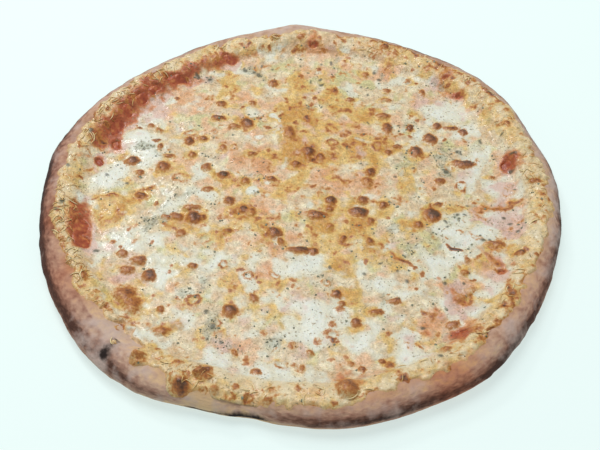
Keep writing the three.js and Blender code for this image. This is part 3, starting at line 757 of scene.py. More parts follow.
# Strokes of browning, oil and mould: field, breadth, amount, and the points each one runs through.
STROKES = [
    ("rose", 4.5, 1.5, [(104, -12), (112, -13), (122, -12), (133, -12)]),
    ("blush", 5.0, 1.2, [(104, -18), (114, -22), (122, -27), (128, -34)]),
    ("rose", 4.0, 1.4, [(97, -32), (106, -37), (115, -42), (124, -46)]),
    ("rose", 5.0, 1.4, [(80, -69), (86, -74), (90, -80), (92, -88)]),
    ("blush", 5.0, 1.3, [(84, -84), (88, -92)]),
    ("blush", 5.0, 1.2, [(112, -48), (116, -56), (116, -64)]),
    ("toast", 2.0, 0.8, [(-84, -23), (-75, -27)]),
    ("toast", 2.6, 0.75, [(52, -46), (59, -51), (66, -57)]),
    ("stain", 3.4, 0.5, [(106, -4), (117, -10), (125, -10), (135, -5)]),
    ("stain", 3.0, 0.45, [(97, -28), (104, -33), (113, -35), (121, -39)]),
    ("rose", 4.0, 1.3, [(110, -20), (119, -24), (126, -31)]),
    ("stain", 3.4, 0.5, [(79, -65), (85, -72), (88, -78), (93, -82)]),
    ("stain", 4.0, 0.5, [(67, -89), (69, -99), (71, -107)]),
    ("rose", 4.0, 1.3, [(57, -108), (65, -115)]),
    ("stain", 4.0, 0.45, [(76, -84), (80, -94), (86, -102)]),
    ("stain", 4.5, 0.45, [(111, -46), (113, -54), (117, -60)]),
    ("toast", 2.2, 0.6, [(-12, -36), (-9, -40)]),
    ("toast", 1.6, 1.2, [(86, -41), (90, -42), (94, -43)]),
    ("toast", 2.0, 0.6, [(106, -5), (112, -9), (119, -12), (126, -12)]),
    ("toast", 2.0, 0.75, [(126, -12), (130, -8), (135, -6)]),
    ("toast", 2.0, 0.45, [(105, -15), (112, -19)]),
    ("toast", 2.2, 0.5, [(95, -29), (105, -33), (112, -37), (120, -42)]),
    ("toast", 2.4, 0.6, [(112, -48), (114, -54), (112, -60)]),
    ("toast", 3.0, 0.8, [(117, -70), (119, -79), (116, -89)]),
    ("toast", 1.8, 0.7, [(-144, -29), (-141, -26), (-138, -21)]),
    ("toast", 1.8, 0.9, [(-118, -1), (-124, 0), (-129, -4)]),
    ("toast", 1.5, 0.8, [(-110, -2), (-114, 1), (-119, 0)]),
    ("toast", 3.2, 0.5, [(-108, -8), (-109, -15), (-113, -20), (-119, -23)]),
    ("toast", 2.2, 0.5, [(-99, -22), (-103, -28)]),
    ("toast", 3.4, 0.8, [(52, -132), (55, -137), (58, -140)]),
    ("toast", 2.0, 0.6, [(57, -108), (65, -112)]), ("toast", 2.0, 0.7, [(145, -5), (148, -8)]),
    ("toast", 1.8, 0.7, [(49, 129), (52, 132), (57, 133)]),
    ("toast", 1.6, 0.7, [(61, 134), (55, 130), (51, 127)]),
    ("toast", 1.6, 0.6, [(64, 133), (63, 127), (61, 122)]),
    ("toast", 1.6, 0.6, [(67, 132), (71, 127), (74, 122)]),
    ("toast", 1.6, 0.8, [(-102, 105), (-98, 107), (-93, 107)]),
    ("toast", 1.6, 0.7, [(-118, 86), (-117, 82), (-116, 79)]),
    ("toast", 1.8, 0.9, [(105, 107), (110, 103)]),
    ("toast", 2.4, 0.85, [(-132, 48), (-130, 46), (-126, 47)]),
    ("toast", 1.8, 0.7, [(-132, 57), (-130, 59), (-127, 58)]),
    ("toast", 1.4, 0.9, [(-140, 39), (-141, 35)]), ("toast", 1.8, 0.8, [(-36, 139), (-38, 135)]),
    ("toast", 1.8, 0.7, [(-5, 135), (-2, 137), (0, 137)]),
    ("toast", 2.0, 0.75, [(-106, -99), (-102, -101)]),
    ("toast", 1.6, 0.75, [(15, -105), (18, -108), (21, -107)]),
    ("toast", 2.0, 0.55, [(95, -114), (97, -113)]),
    ("gold", 4, 0.9, [(-39, -71), (-35, -69), (-31, -72)]), ("gold", 4, 0.9, [(35, 32), (36, 39)]),
    ("gold", 5, 0.8, [(88, -10), (95, -14)]), ("mould", 4, 0.9, [(-104, 45), (-98, 42), (-93, 39)]),
    ("olive", 5, 0.8, [(98, 46), (105, 44), (112, 42)]),
    ("milk", 4, 1.0, [(-22, 12), (-28, 7), (-33, 3)]),
    ("milk", 3.4, 1.0, [(-27, 52), (-17, 53), (-12, 60), (-14, 68), (-20, 72)]),
    ("milk", 3, 0.9, [(-20, 132), (-15, 137), (-12, 140)]),
    ("milk", 4, 1.0, [(-94, -100), (-91, -106), (-87, -114)]),
]
# Soft patches of colour: x, y, half breadth along x and along y, amount.
PATCHES = {
    "milk": [
        (-120, 18, 11, 15, 1.2), (-110, 68, 9, 8, 1.0), (-104, 50, 11, 9, 1.2),
        (-98, 33, 9, 10, 1.1), (-90, 91, 11, 8, 0.9), (-95, 77, 9, 8, 0.6), (-72, 52, 7, 9, 0.8),
        (-62, 51, 5, 5, 0.7), (-50, 28, 9, 8, 0.7), (-20, 96, 8, 9, 0.6), (-35, 74, 10, 6, 0.5),
        (-28, 133, 8, 5, 0.7), (-15, 137, 5, 9, 0.9), (-60, 8, 9, 12, 0.5), (-74, -3, 9, 11, 0.9),
        (-62, -66, 8, 7, 0.5), (-105, -30, 16, 8, 1.0), (-117, -51, 9, 9, 1.2),
        (-85, -64, 12, 10, 0.6), (-88, -38, 9, 7, 0.6), (-55, -48, 18, 10, 0.5),
        (-50, -76, 8, 7, 0.8), (-5, -56, 12, 9, 1.2), (10, -54, 10, 8, 0.9), (-8, -88, 15, 15, 0.8),
        (12, -93, 12, 11, 0.9), (30, -108, 13, 8, 0.6), (-25, -132, 16, 8, 1.1),
        (-42, -123, 9, 8, 0.9), (-72, -108, 8, 7, 0.5), (0, -137, 10, 7, 0.6),
        (45, -66, 18, 12, 0.7), (56, -108, 6, 15, 1.1), (67, -122, 8, 6, 0.7),
        (84, -82, 5, 12, 1.1), (84, -53, 14, 11, 1.0), (98, -30, 15, 11, 1.1),
        (118, -24, 8, 9, 0.8), (112, -67, 7, 8, 0.6), (34, -8, 5, 5, 0.7), (99, 72, 9, 7, 1.1),
        (80, 60, 13, 10, 0.6), (111, 60, 8, 8, 0.6), (114, 42, 7, 9, 0.8), (76, 109, 9, 5, 0.9),
        (60, 102, 8, 4, 0.7), (108, 13, 9, 6, 0.8), (122, 10, 6, 8, 0.7), (136, 0, 5, 9, 0.9),
        (30, 138, 12, 6, 0.8), (62, 30, 9, 12, 0.4), (-31, -151, 6, 4, 0.9),
        (10, 34, 70, 60, -0.35), (105, 0, 35, 85, 0.4), (-98, 5, 32, 80, 0.12),
        (0, -105, 70, 30, 0.2),
    ],
    "gold": [
        (5, 71, 13, 9, 1.1), (10, 91, 14, 12, 0.7), (-14, 74, 8, 7, 0.9), (-7, 54, 6, 9, 0.9),
        (3, 38, 12, 11, 0.9), (3, 20, 5, 18, 0.45), (-7, 8, 8, 6, 0.9), (-27, 3, 10, 5, 0.8),
        (-50, 113, 12, 9, 0.8), (-45, 106, 5, 4, 0.5), (-55, 93, 9, 6, 0.5), (-10, 95, 9, 6, 0.5),
        (25, 75, 22, 12, 0.4), (28, 48, 22, 16, 0.4), (35, 36, 5, 8, 0.7), (68, 12, 4, 9, 0.9),
        (22, -27, 20, 9, 1.1), (25, -68, 6, 20, 0.8), (32, -50, 9, 5, 0.5), (64, -23, 11, 5, 0.9),
        (86, -12, 9, 6, 0.8), (60, -54, 9, 5, 0.6), (44, -87, 8, 5, 0.9), (12, -109, 9, 6, 0.7),
        (105, -87, 9, 9, 0.8), (93, 116, 8, 6, 1.3), (106, 108, 7, 6, 1.0), (95, -61, 5, 5, 0.7),
        (77, -117, 9, 4, 0.6), (59, -130, 10, 4, 0.4), (-34, -71, 12, 9, 0.8),
        (-46, -28, 7, 7, 0.8), (-30, -30, 9, 9, 0.5), (-34, -88, 10, 6, 0.6), (-61, -80, 6, 6, 0.7),
        (-10, -125, 6, 10, 0.8), (-24, -128, 6, 4, 0.6), (-48, -100, 6, 5, 0.4),
        (-117, -10, 11, 13, 0.8), (-73, 16, 7, 5, 0.6), (-77, -26, 8, 4, 0.6),
        (-66, -16, 12, 6, 0.5), (-30, -9, 14, 7, 0.5), (-85, 30, 6, 6, 0.4), (101, 9, 6, 6, 0.8),
        (89, 13, 5, 5, 0.4), (74, 105, 4, 5, 0.7), (45, 112, 5, 5, 0.5), (75, 76, 7, 8, 0.4),
        (106, 46, 4, 7, 0.7), (12, 62, 34, 60, 0.22), (30, 20, 60, 60, 0.12),
        (-124, -67, 5, 14, 0.5), (-116, -85, 5, 10, 0.5),
    ],
    "rose": [
        (-75, 88, 12, 14, 0.7), (-92, 76, 9, 7, 0.5), (-102, 61, 10, 4, 0.6), (-68, 30, 8, 8, 0.5),
        (-26, 30, 14, 10, 0.9), (-20, 15, 10, 6, 0.5), (-42, 50, 12, 9, 0.5), (-28, 86, 10, 6, 0.4),
        (-74, 107, 8, 8, 0.8), (-98, 20, 6, 5, 0.4), (-45, 92, 12, 9, 0.4), (-60, 60, 9, 6, 0.4),
        (24, 133, 15, 8, 0.8), (10, 136, 8, 6, 1.2), (58, 116, 9, 9, 0.9), (61, 126, 8, 10, 0.7),
        (86, 88, 10, 10, 0.6), (96, 104, 10, 8, 1.3), (106, 89, 9, 9, 0.8), (20, 58, 16, 12, 0.5),
        (50, 44, 12, 12, 0.6), (45, 72, 11, 9, 0.7), (20, 14, 14, 11, 0.8), (42, 12, 7, 8, 0.9),
        (110, 48, 7, 5, 0.4), (130, 26, 8, 13, 1.1), (130, 5, 8, 7, 1.1), (85, 8, 7, 6, 0.4),
        (116, -9, 13, 5, 0.9), (133, -7, 5, 5, 0.7), (120, -18, 8, 6, 0.7), (129, -31, 5, 9, 0.7),
        (111, -53, 7, 13, 1.0), (118, -40, 6, 4, 0.8), (110, -69, 8, 7, 0.7), (90, -78, 7, 8, 0.8),
        (70, -100, 9, 12, 1.2), (86, -96, 10, 6, 1.0), (60, -113, 5, 7, 0.6), (82, -34, 6, 4, 0.3),
        (-22, -60, 13, 13, 1.2), (-16, -44, 5, 8, 0.7), (-30, -8, 12, 12, 0.8),
        (-60, -14, 14, 8, 0.6), (-105, -63, 9, 8, 0.8), (-104, -44, 6, 6, 0.5),
        (-46, -112, 9, 6, 0.7), (-68, -98, 9, 6, 0.5), (-96, -91, 7, 9, 0.7), (25, -119, 9, 7, 0.6),
        (8, -117, 7, 7, 0.4), (35, -100, 7, 7, 0.4), (0, 30, 60, 62, 0.3), (-86, -22, 9, 6, 0.4),
        (-61, -126, 9, 6, 0.5),
    ],
    "mould": [
        (-75, 2, 9, 9, 0.8), (-91, -25, 5, 5, 1.6), (-86, -18, 6, 4, 1.1), (-57, -68, 5, 6, 1.0),
        (-68, -75, 5, 5, 1.0), (-50, -95, 6, 6, 1.0), (-51, -105, 4, 6, 0.9), (-60, -83, 7, 7, 0.5),
        (-17, -107, 6, 6, 1.0), (-36, -110, 6, 5, 0.7), (-5, -112, 7, 6, 0.6), (87, 33, 8, 8, 0.9),
        (91, 20, 4, 6, 1.2), (64, 27, 8, 12, 0.7), (72, -38, 12, 12, 0.8), (52, -28, 8, 9, 0.5),
        (50, -80, 6, 6, 0.8), (48, -53, 6, 6, 0.5), (-38, 117, 5, 5, 1.1), (-30, 113, 4, 5, 1.3),
        (-62, 108, 5, 5, 0.9), (-30, 18, 7, 4, 1.0), (-28, 68, 6, 5, 0.7), (-60, 37, 5, 5, 0.7),
        (98, 97, 4, 4, 1.3), (90, 100, 6, 5, 0.5), (53, 111, 4, 5, 1.0), (95, -17, 5, 4, 1.1),
        (14, -68, 5, 6, 0.9), (5, 79, 5, 4, 0.8), (16, 84, 5, 4, 0.7), (100, 42, 8, 5, 0.5),
        (-100, 43, 9, 3, 1.0), (12, 108, 9, 7, 0.5), (28, 125, 12, 4, 0.7), (70, 60, 6, 5, 0.6),
        (30, 42, 4, 4, 0.7), (-5, -48, 4, 4, 0.3), (-16, -40, 6, 9, 0.5), (93, -42, 5, 3, 0.8),
    ],
    "olive": [
        (30, 113, 22, 12, 0.9), (10, 108, 11, 8, 0.6), (-10, 118, 14, 7, 0.6),
        (-72, 66, 11, 7, 0.8), (-28, 62, 10, 9, 0.6), (45, 90, 9, 7, 0.5), (76, 76, 8, 8, 0.5),
        (120, 32, 9, 8, 0.8), (98, 44, 9, 5, 0.6), (63, 22, 8, 10, 0.5), (72, -38, 14, 13, 0.7),
        (88, -16, 9, 7, 0.6), (-60, -48, 18, 11, 0.5), (-112, 18, 6, 8, 0.6),
        (-20, -88, 14, 12, 0.4), (-111, -81, 7, 6, 0.5), (12, -108, 10, 7, 0.6),
        (-15, -20, 10, 8, 0.4), (-80, -48, 8, 8, 0.4), (50, -92, 10, 8, 0.4),
    ],
    "blush": [
        (-92, 84, 12, 12, 0.6), (-100, 77, 9, 7, 0.7), (-110, 60, 6, 6, 0.5),
        (-66, 110, 10, 6, 0.7), (-48, 122, 10, 5, 0.7), (24, 139, 14, 6, 0.8),
        (86, 86, 11, 10, 0.6), (92, 104, 8, 7, 0.7), (130, 6, 9, 8, 0.9), (122, -17, 9, 9, 0.9),
        (129, -31, 6, 10, 0.9), (110, -64, 8, 9, 0.8), (108, -44, 6, 8, 0.6), (90, -80, 7, 9, 0.9),
        (57, -112, 7, 10, 0.8), (70, -98, 8, 10, 0.5), (-118, -50, 8, 8, 0.5),
        (-105, -62, 9, 8, 0.8), (-43, -112, 10, 6, 0.6), (8, -50, 10, 5, 0.4),
        (-112, -30, 8, 7, 0.3), (60, 112, 10, 6, 0.4), (-76, -122, 8, 5, 0.4),
    ],
    "stain": [
        (88, -105, 4.5, 4, 1.1), (70, -101, 6, 9, 0.5), (105, 88, 4, 4, 1.2), (132, 26, 5, 9, 0.9),
        (111, 106, 6, 5, 0.5), (98, 108, 6, 4, 0.7), (9, 142, 6, 5, 0.7), (26, -134, 8, 7, 0.8),
        (112, -52, 5, 10, 0.5), (-76, 114, 9, 6, 0.8), (-62, 122, 6, 6, 0.8), (-108, 98, 8, 8, 0.8),
        (-118, 76, 6, 8, 0.7), (-122, 47, 6, 10, 0.8), (-129, 56, 6, 12, 0.7),
        (-134, -22, 7, 15, 0.7), (70, 138, 8, 9, 0.6), (130, 4, 5, 5, 0.4), (90, -80, 4, 6, 0.5),
        (-35, 132, 9, 5, 0.6), (116, -10, 8, 3, 0.4), (-22, -60, 8, 9, 0.35), (118, 98, 8, 7, 0.5),
        (82, -127, 7, 6, 0.6),
    ],
}
# Where browned shreds of cheese lie on the rim: x, y, half breadth along x and along y, amount.
SHRED_PATCHES = [
    (-132, -62, 9, 20, 1.6), (-143, -10, 7, 22, 1.4), (-101, 111, 13, 8, 1.2),
    (-119, 92, 8, 12, 1.1), (-129, 68, 8, 14, 1.1), (-137, 46, 6, 12, 0.6), (66, 138, 12, 9, 0.7),
    (-38, 146, 14, 5, 0.4), (112, 112, 9, 8, 0.6), (-98, -106, 9, 6, 0.5), (-60, -132, 10, 6, 0.6),
    (138, 70, 5, 12, 0.5),
]
# Pools where the cheese drew back from the sauce: x, y, half breadth along x and along y.
SAUCE_POOLS = [
    (-132, -28, 5.5, 9.5), (-130, -40, 4, 5), (-86, 105, 11, 5), (-99, 95, 7, 5), (-107, 86, 5, 6),
    (-114, 74, 4, 7), (-120, 60, 3.5, 7), (-120, 46, 3, 5), (-128, 28, 3, 5), (-50, 127, 7, 3),
    (131, 25, 4, 6), (115, -60, 2, 3), (88, -104, 2.2, 2.2), (105, 88, 2.2, 2.6), (8, 138, 4, 2),
    (99, 106, 2.5, 1.5),
]
# Random mottling: field, breadth, amount.
MOTTLES = [
    ("milk", 17, 1.1), ("milk", 7, 0.7), ("milk", 3.2, 0.2), ("gold", 14, 1.0), ("gold", 6, 0.65),
    ("gold", 2.8, 0.15), ("rose", 15, 1.0), ("rose", 6.5, 0.65), ("rose", 3, 0.1),
    ("olive", 12, 1.0), ("olive", 5, 0.4), ("mould", 9, 0.6), ("mould", 4, 0.5), ("stain", 5, 0.35),
    ("blush", 9, 0.9), ("blush", 4, 0.2),
]
# A pool of sauce: how sharply it ends, the blush round it, and the cheese left over it.
POOL_SHARPNESS = 1.4
POOL_MOST = 1.15
POOL_COVER = 0.2
BLUSH_AT = 1.3
BLUSH_BREADTH = 0.55
GONE_SPAN = (0.5, 1.0)
# The bare ring of sauce, as insets: where its stain begins, how it fades, and how bare it must be.
RING_STAIN_FROM = (15, 21)
RING_STAIN_FADE = 6
RING_STAIN_BARE = (1, 6)
# The share of the relief left where the cheese is thin, and the curds that stand out there.
LAP_RELIEF = 0.35
CURD_HEIGHT = 0.3
CURD_SINK = 0.15
DOME_DRIFT = 0.6
PATCH_REACH = 1.15
MOTTLE_PULL = 0.5
# Insets between which the lap's own tone and its shreds end, and those where the blush begins.
LAP_TONE_TO = (19, 27)
SHREDS_TO = (20, 25)
BLUSH_FROM = (22, 27)
CRISP_BREADTH = 2.5
SEAM_WIDTH = 0.1
FRECKLES = [(3.4, 61, 0.8), (7.5, 62, 0.7)]  # breadth, seed, amount
FRECKLE_LEAST = 0.3

rings = np.arange(CHEESE_RINGS + 1)
ring_of = np.repeat(rings, np.maximum(RING_SIDES * rings, 1))
ring_start = np.concatenate([[0], 1 + RING_SIDES * rings[:-1] * rings[1:] // 2])
in_ring = np.arange(len(ring_of)) - ring_start[ring_of]
angle = 360 * in_ring / np.maximum(RING_SIDES * ring_of, 1)
reach = edge_radius(angle) - (OUTER_INSET - around(angle, RUNS)) * rim_breadth(angle)
radius = reach * ring_of / CHEESE_RINGS
flat = polar(radius, angle, 0)
x, y = flat[:, 0], flat[:, 1]
inset = (edge_radius(angle) - radius) / rim_breadth(angle)

bare = around(angle, BARE_SAUCE)
edge = CHEESE_INSET + bare
under = dough_top(angle, inset)
skin = np.stack([x, y, under], axis=-1)
swollen = dough_lumps(skin) * (1 - smoothstep(inset, *LUMPS_TO)) + bubbles(x, y)
relief = WAVE_HEIGHT * (np.sin(2 * math.pi * x / WAVES[0][0] + WAVES[0][1])
                        * np.sin(2 * math.pi * y / WAVES[1][0] + WAVES[1][1])
                        + ASKEW_WAVE_SHARE * np.sin(2 * math.pi * (x + y) / WAVES[2][0] + WAVES[2][1]))
for mx, my, spread, high in MOUNDS:
    relief += high * bell(np.hypot(x - mx, y - my) / spread)
for seed, (lump_breadth, high) in enumerate(CHEESE_LUMPS, 31):
    relief += high * noise(flat, lump_breadth, seed)
curds = 1 - 2 * np.abs(noise(flat, *CURDS))
wobble = noise(flat, *WOBBLE)
slow = noise(flat, *SLOW)
puffs = noise(flat, *PUFFING)
# Nothing in melted cheese is straight or round: every feature is read at a place pushed aside.
drift_x, drift_y = (DRIFT * noise(flat, *grain) for grain in DRIFTS)
pull_x, pull_y = (PULL * noise(flat, *grain) for grain in PULLS)


def away_from(px, py, half_x, half_y):
    """How far each corner is from a place, in half breadths, read where it was pulled to."""
    return np.hypot((x + pull_x - px) / half_x, (y + pull_y - py) / half_y)


# The lap over the rim thins out to nothing; over a pool of sauce the cheese is gone.
lap_end = LAP_INSET + around(angle, LAPS) + LAP_WANDER * slow + LAP_FRAY * wobble
for ix, iy, island in ISLANDS:
    lap_end = lap_end - ISLAND_REACH * bell(np.hypot(x - ix, y - iy) / island) ** 2
body = smoothstep(inset, edge, edge + CHEESE_THICKENING)
on_sauce = 2 * LAYER_GAP + SAUCE_THICKNESS + CHEESE_EDGE_THICKNESS
cover = LAP_THICKNESS + (on_sauce - LAP_THICKNESS) * smoothstep(inset, LAP_FOOT, CHEESE_INSET)
cover += (CHEESE_THICKNESS - CHEESE_EDGE_THICKNESS) * body
on_lap = smoothstep(inset, lap_end, lap_end + LAP_RISE) * (1 - smoothstep(inset, *PUFFS_TO))
folds = np.minimum(np.abs(puffs), PUFF_MOST) - PUFF_SINK
cover += on_lap * PUFF_HEIGHT * (PUFF_EVENNESS + around(angle, WRINKLED_LAPS)) * folds
window = np.zeros_like(x)
blush = np.zeros_like(x)
for pool in SAUCE_POOLS:
    away = away_from(*pool)
    window += bell(away**POOL_SHARPNESS)
    blush = np.maximum(blush, bell((away - BLUSH_AT) / BLUSH_BREADTH))
window = np.minimum(window, POOL_MOST)
stained = smoothstep(inset, *RING_STAIN_FROM) * (1 - smoothstep(inset, edge, edge + RING_STAIN_FADE))
stained = stained * smoothstep(bare, *RING_STAIN_BARE)
stain = 1.5 * window + stained * (0.45 + 0.7 * slow + 0.4 * wobble)
window = window + 0.12 * wobble + 0.15 * slow + 0.1 * (curds - 0.6)
gone = smoothstep(window, *GONE_SPAN)
cover += relief * (LAP_RELIEF + (1 - LAP_RELIEF) * body) + CURD_HEIGHT * curds * (1 - body) - CURD_SINK
cover = cover * (1 - gone) + POOL_COVER * gone
sunk = LAP_SINK * (1 - smoothstep(inset, lap_end - 1.5, lap_end + 1.5))
cover = cover * smoothstep(inset, lap_end - 0.5, lap_end + LAP_RISE) - sunk

names = ("toast", "speck", "milk", "gold", "rose", "mould", "olive", "stain", "blush", "shred")
fields = {name: np.zeros_like(x) for name in names}
wx, wy = x + drift_x, y + drift_y
bent_x, bent_y = x + DOME_DRIFT * drift_x, y + DOME_DRIFT * drift_y
for bx, by, long, wide, heat in BLISTERS:
    dx, dy = (bent_x - bx) / (DOME_REACH * long), (bent_y - by) / (DOME_REACH * wide)
    away = np.hypot(dx, dy) * (1 + DOME_UNEVENNESS * wobble)
    rise = DOME_RISE + DOME_RISE_SHARE * min(long, wide)
    moat = MOAT_DEPTH * bell((away - MOAT_AT) / MOAT_WIDTH)
    cover += rise * np.clip(1 - away**2, 0, 1) ** DOME_ROUNDNESS - moat
    # Each blister's colour runs darker towards its +x, +y side and paler orange towards its -x, -y side.
    shade = heat * (0.84 + 0.34 * (dx + dy) * bell(away / 1.2))
    fields["toast"] = np.maximum(fields["toast"], shade * (1 - smoothstep(away, *DOME_TOAST_TO)))
    fields["gold"] += MOAT_GOLD * heat * bell((away - MOAT_AT) / 0.6)
for bx, by, long, wide, heat in CRATERS:
    away = np.hypot((wx - bx) / (long / 2), (wy - by) / (wide / 2))
    pit = CRATER_DEPTH * bell(away / CRATER_PIT)
    cover += CRATER_RIM_HEIGHT * bell((away - CRATER_RIM_AT) / CRATER_RIM_WIDTH) - pit
    ringed = heat * bell((away - CRATER_RIM_AT) / 0.33) * (0.75 + 0.7 * wobble + 0.5 * slow)
    fields["toast"] = np.maximum(fields["toast"], ringed)
    fields["milk"] += 0.3 * bell(away / CRATER_PIT)
    fields["gold"] += 0.3 * bell((away - 0.9) / 0.5)
for bx, by, dot, heat in DOTS:
    away = np.hypot(wx - bx, wy - by) / (dot / 2)
    name, strength = ("speck", 0.9) if heat > 1.0 else ("toast", 0.75 * heat)
    fields[name] = np.maximum(fields[name], strength * (1 - smoothstep(away, *DOT_TO)))
    cover += DOT_HEIGHT * bell(away)
for name, stroke, amount, points in STROKES:
    near = np.full_like(x, FAR)
    for (ax, ay), (cx, cy) in zip(points, points[1:]):
        length = (cx - ax) ** 2 + (cy - ay) ** 2
        share = np.clip(((wx - ax) * (cx - ax) + (wy - ay) * (cy - ay)) / length, 0, 1)
        near = np.minimum(near, np.hypot(wx - ax - share * (cx - ax), wy - ay - share * (cy - ay)))
    drawn = amount * (0.7 + 0.8 * wobble + 0.5 * slow)
    drawn = drawn * (1 - smoothstep(near, stroke * STROKE_TO[0], stroke * STROKE_TO[1]))
    fields[name] = np.maximum(fields[name], drawn)
    if name == "toast":
        cover += STROKE_HEIGHT * bell(near / stroke)
        fields["gold"] += 0.5 * bell(near / stroke / 1.3)
for name, patches in [*PATCHES.items(), ("shred", SHRED_PATCHES)]:
    for *patch, amount in patches:
        fields[name] += amount * bell(away_from(*patch) / PATCH_REACH)
fields["lap"] = (1 - smoothstep(inset, *LAP_TONE_TO)) + 0.15 * slow
fields["stain"] += stain
fields["blush"] += 0.9 * blush * smoothstep(inset, *BLUSH_FROM)
fields["edge"] = 1 - smoothstep(inset, lap_end, lap_end + 3.5)
seam_heat = 0.1 + 0.6 * slow + 0.35 * around(angle, SEAM_TOASTS)
seams = on_lap * bell(puffs / SEAM_WIDTH) * seam_heat * (1 - gone)
crisp = bell((inset - lap_end - 2) / CRISP_BREADTH)
crisp = crisp * (around(angle, EDGE_TOASTS) + 0.7 * slow + 0.4 * wobble - 0.1)
fields["toast"] = np.maximum(fields["toast"], np.maximum(seams, crisp))
fields["gold"] += 0.8 * on_lap * bell(puffs / (2 * SEAM_WIDTH))
on_rim = smoothstep(inset, lap_end + 0.5, lap_end + 2) * (1 - smoothstep(inset, *SHREDS_TO)) * (1 - gone)
fields["shred"] = on_rim * (0.25 + fields["shred"] + 0.7 * slow)
# Away from the listed features the cheeses are mottled at random.
pulled = flat + np.stack([pull_x, pull_y, 0 * x], axis=-1) * MOTTLE_PULL
for seed, (name, breadth_mm, amount) in enumerate(MOTTLES, 51):
    fields[name] += amount * noise(pulled, breadth_mm, seed)
freckle = sum(noise(flat, breadth_mm, seed) * amount for breadth_mm, seed, amount in FRECKLES)
freckle = freckle + 0.25 * fields["gold"] + 0.15 * fields["rose"] - 0.3 * np.clip(fields["milk"], -0.2, 2)
fields["toast"] = np.maximum(fields["toast"], 0.8 * (freckle - FRECKLE_LEAST))

top_corners = np.stack([x, y, under + swollen + cover], axis=-1)
rim = np.arange(ring_start[CHEESE_RINGS], len(ring_of))
on_top = 2 * LAYER_GAP + SAUCE_THICKNESS
closing = []
for share in CLOSING_SHARES:
    ring_radius = reach[rim] * share
    ring_inset = (edge_radius(angle[rim]) - ring_radius) / rim_breadth(angle[rim])
    raised = np.where(ring_inset > RIM_FOOT + CHEESE_THICKENING, on_top, -CHEESE_SINK)
    closing.append(polar(ring_radius, angle[rim], dough_top(angle[rim], ring_inset) + raised))
centre = np.array([[0, 0, DOUGH_FLOOR + 2 * LAYER_GAP + SAUCE_THICKNESS]])
corners = np.concatenate([top_corners, *closing, centre])

faces = []
for ring in range(1, CHEESE_RINGS + 1):
    count = RING_SIDES * ring
    side, i = np.divmod(np.arange(count), ring)
    inner_count = max(RING_SIDES * (ring - 1), 1)
    outer_now = ring_start[ring] + np.arange(count)
    outer_next = ring_start[ring] + (np.arange(count) + 1) % count
    inner_now = ring_start[ring - 1] + (side * (ring - 1) + i) % inner_count
    inner_next = ring_start[ring - 1] + (side * (ring - 1) + i + 1) % inner_count
    faces.append(np.stack([outer_now, outer_next, inner_now], axis=-1))
    inside = i < ring - 1
    faces.append(np.stack([outer_next[inside], inner_next[inside], inner_now[inside]], axis=-1))
count = len(rim)
rows_below = [rim] + [len(x) + row * count + np.arange(count) for row in range(len(closing))]
for upper, lower in zip(rows_below, rows_below[1:]):
    faces.append(np.stack([upper, lower, np.roll(lower, -1)], axis=-1))
    faces.append(np.stack([upper, np.roll(lower, -1), np.roll(upper, -1)], axis=-1))
last = np.full(count, len(corners) - 1)
faces.append(np.stack([rows_below[-1], last, np.roll(rows_below[-1], -1)], axis=-1))
faces = np.concatenate(faces)
padding = np.zeros(len(corners) - len(x))
cheese_fields = {name: np.concatenate([values, padding]) for name, values in fields.items()}

# Melted cheese, browned in the oven: moist and slightly waxy, with fat on top. Light enters
# the pale parts a little way; its gloss comes and goes in small patches.
BASE_COLOURS = ("#cfb089", "#e6d8b7")
BASE_GRAIN = 9
BASE_SPAN = (0.35, 0.65)
WASHES = [  # field, how frayed, from, to, colour, most
    ("olive", 0.8, 0.25, 0.8, "#cac28a", 0.85), ("rose", 0.8, 0.2, 0.8, "#e0b38c", 0.85),
    ("rose", 0.9, 0.7, 1.5, "#d0925f", 0.85), ("gold", 0.8, 0.2, 0.8, "#dab463", 0.85),
    ("gold", 1.0, 0.75, 1.5, "#c68e3a", 0.85), ("milk", 0.7, 0.3, 0.85, "#dbd8c4", 0.88),
    ("milk", 0.7, 0.8, 1.5, "#e1e1d5", 0.9), ("blush", 0.8, 0.35, 1.0, "#d4b0a2", 0.8),
    ("lap", 0.9, 0.3, 0.9, "#dabc86", 0.6), ("stain", 1.1, 0.3, 0.85, "#c2763a", 0.85),
    ("stain", 1.1, 0.7, 1.2, "#a84f2c", 0.85), ("mould", 1.0, 0.4, 1.3, "#a5a690", 0.65),
    ("edge", 1.2, 0.3, 0.9, "#c69054", 0.6),
]
TEAR_GRAIN = 5
# The white cheese is calmer: how much of the mottling is left on it, and the span of its field.
CALM = 0.2
CALM_SPAN = (0.4, 1.1)
# Value mottling, as grain in millimetres, the darkest and the lightest share of the colour.
MOTTLINGS = [(3.4, 0.82, 1.13), (1.2, 0.82, 1.12)]
MOTTLE_FINENESS = 1.13
MOTTLE_SPAN = (0.32, 0.68)
# Dark grit where the blue cheese melted.
GRIT_GRAIN = 1.5
GRIT_SPAN = (0.64, 0.72)
GRIT_COLOUR = "#6d6950"
GRIT_MOST = 0.7
GRIT_WEIGHT = 0.09
TOAST_COLOURS = [(0.0, "#d3a562"), (0.25, "#c68d45"), (0.45, "#b2702e"), (0.65, "#995620"),
                 (0.85, "#713b17"), (1.0, "#4e2810")]
TOAST_SPAN = (0.05, 0.5)
TOAST_MOST = 0.96
TOAST_RAGGEDNESS = 0.9
SPECK_COLOUR = "#4a4a38"
SPECK_SPAN = (0.15, 0.8)
SPECK_MOST = 0.85
SKIN_GRAIN = 1.5
SKIN_DEPTH = 0.5
DIMPLE_GRAIN = 4
DIMPLE_DEPTH = 1.2
GLOSS_SPAN = (0.35, 0.65)
GLOSSIEST = 0.28
DULLEST = 0.55
melted = new_material("melted_browned_cheese")
tree = melted.node_tree
place = add(tree, "ShaderNodeTexCoord").outputs["Object"]
fine = grainy(tree, place, SKIN_GRAIN, 3.0)
middling = grainy(tree, place, DIMPLE_GRAIN, 4.0)
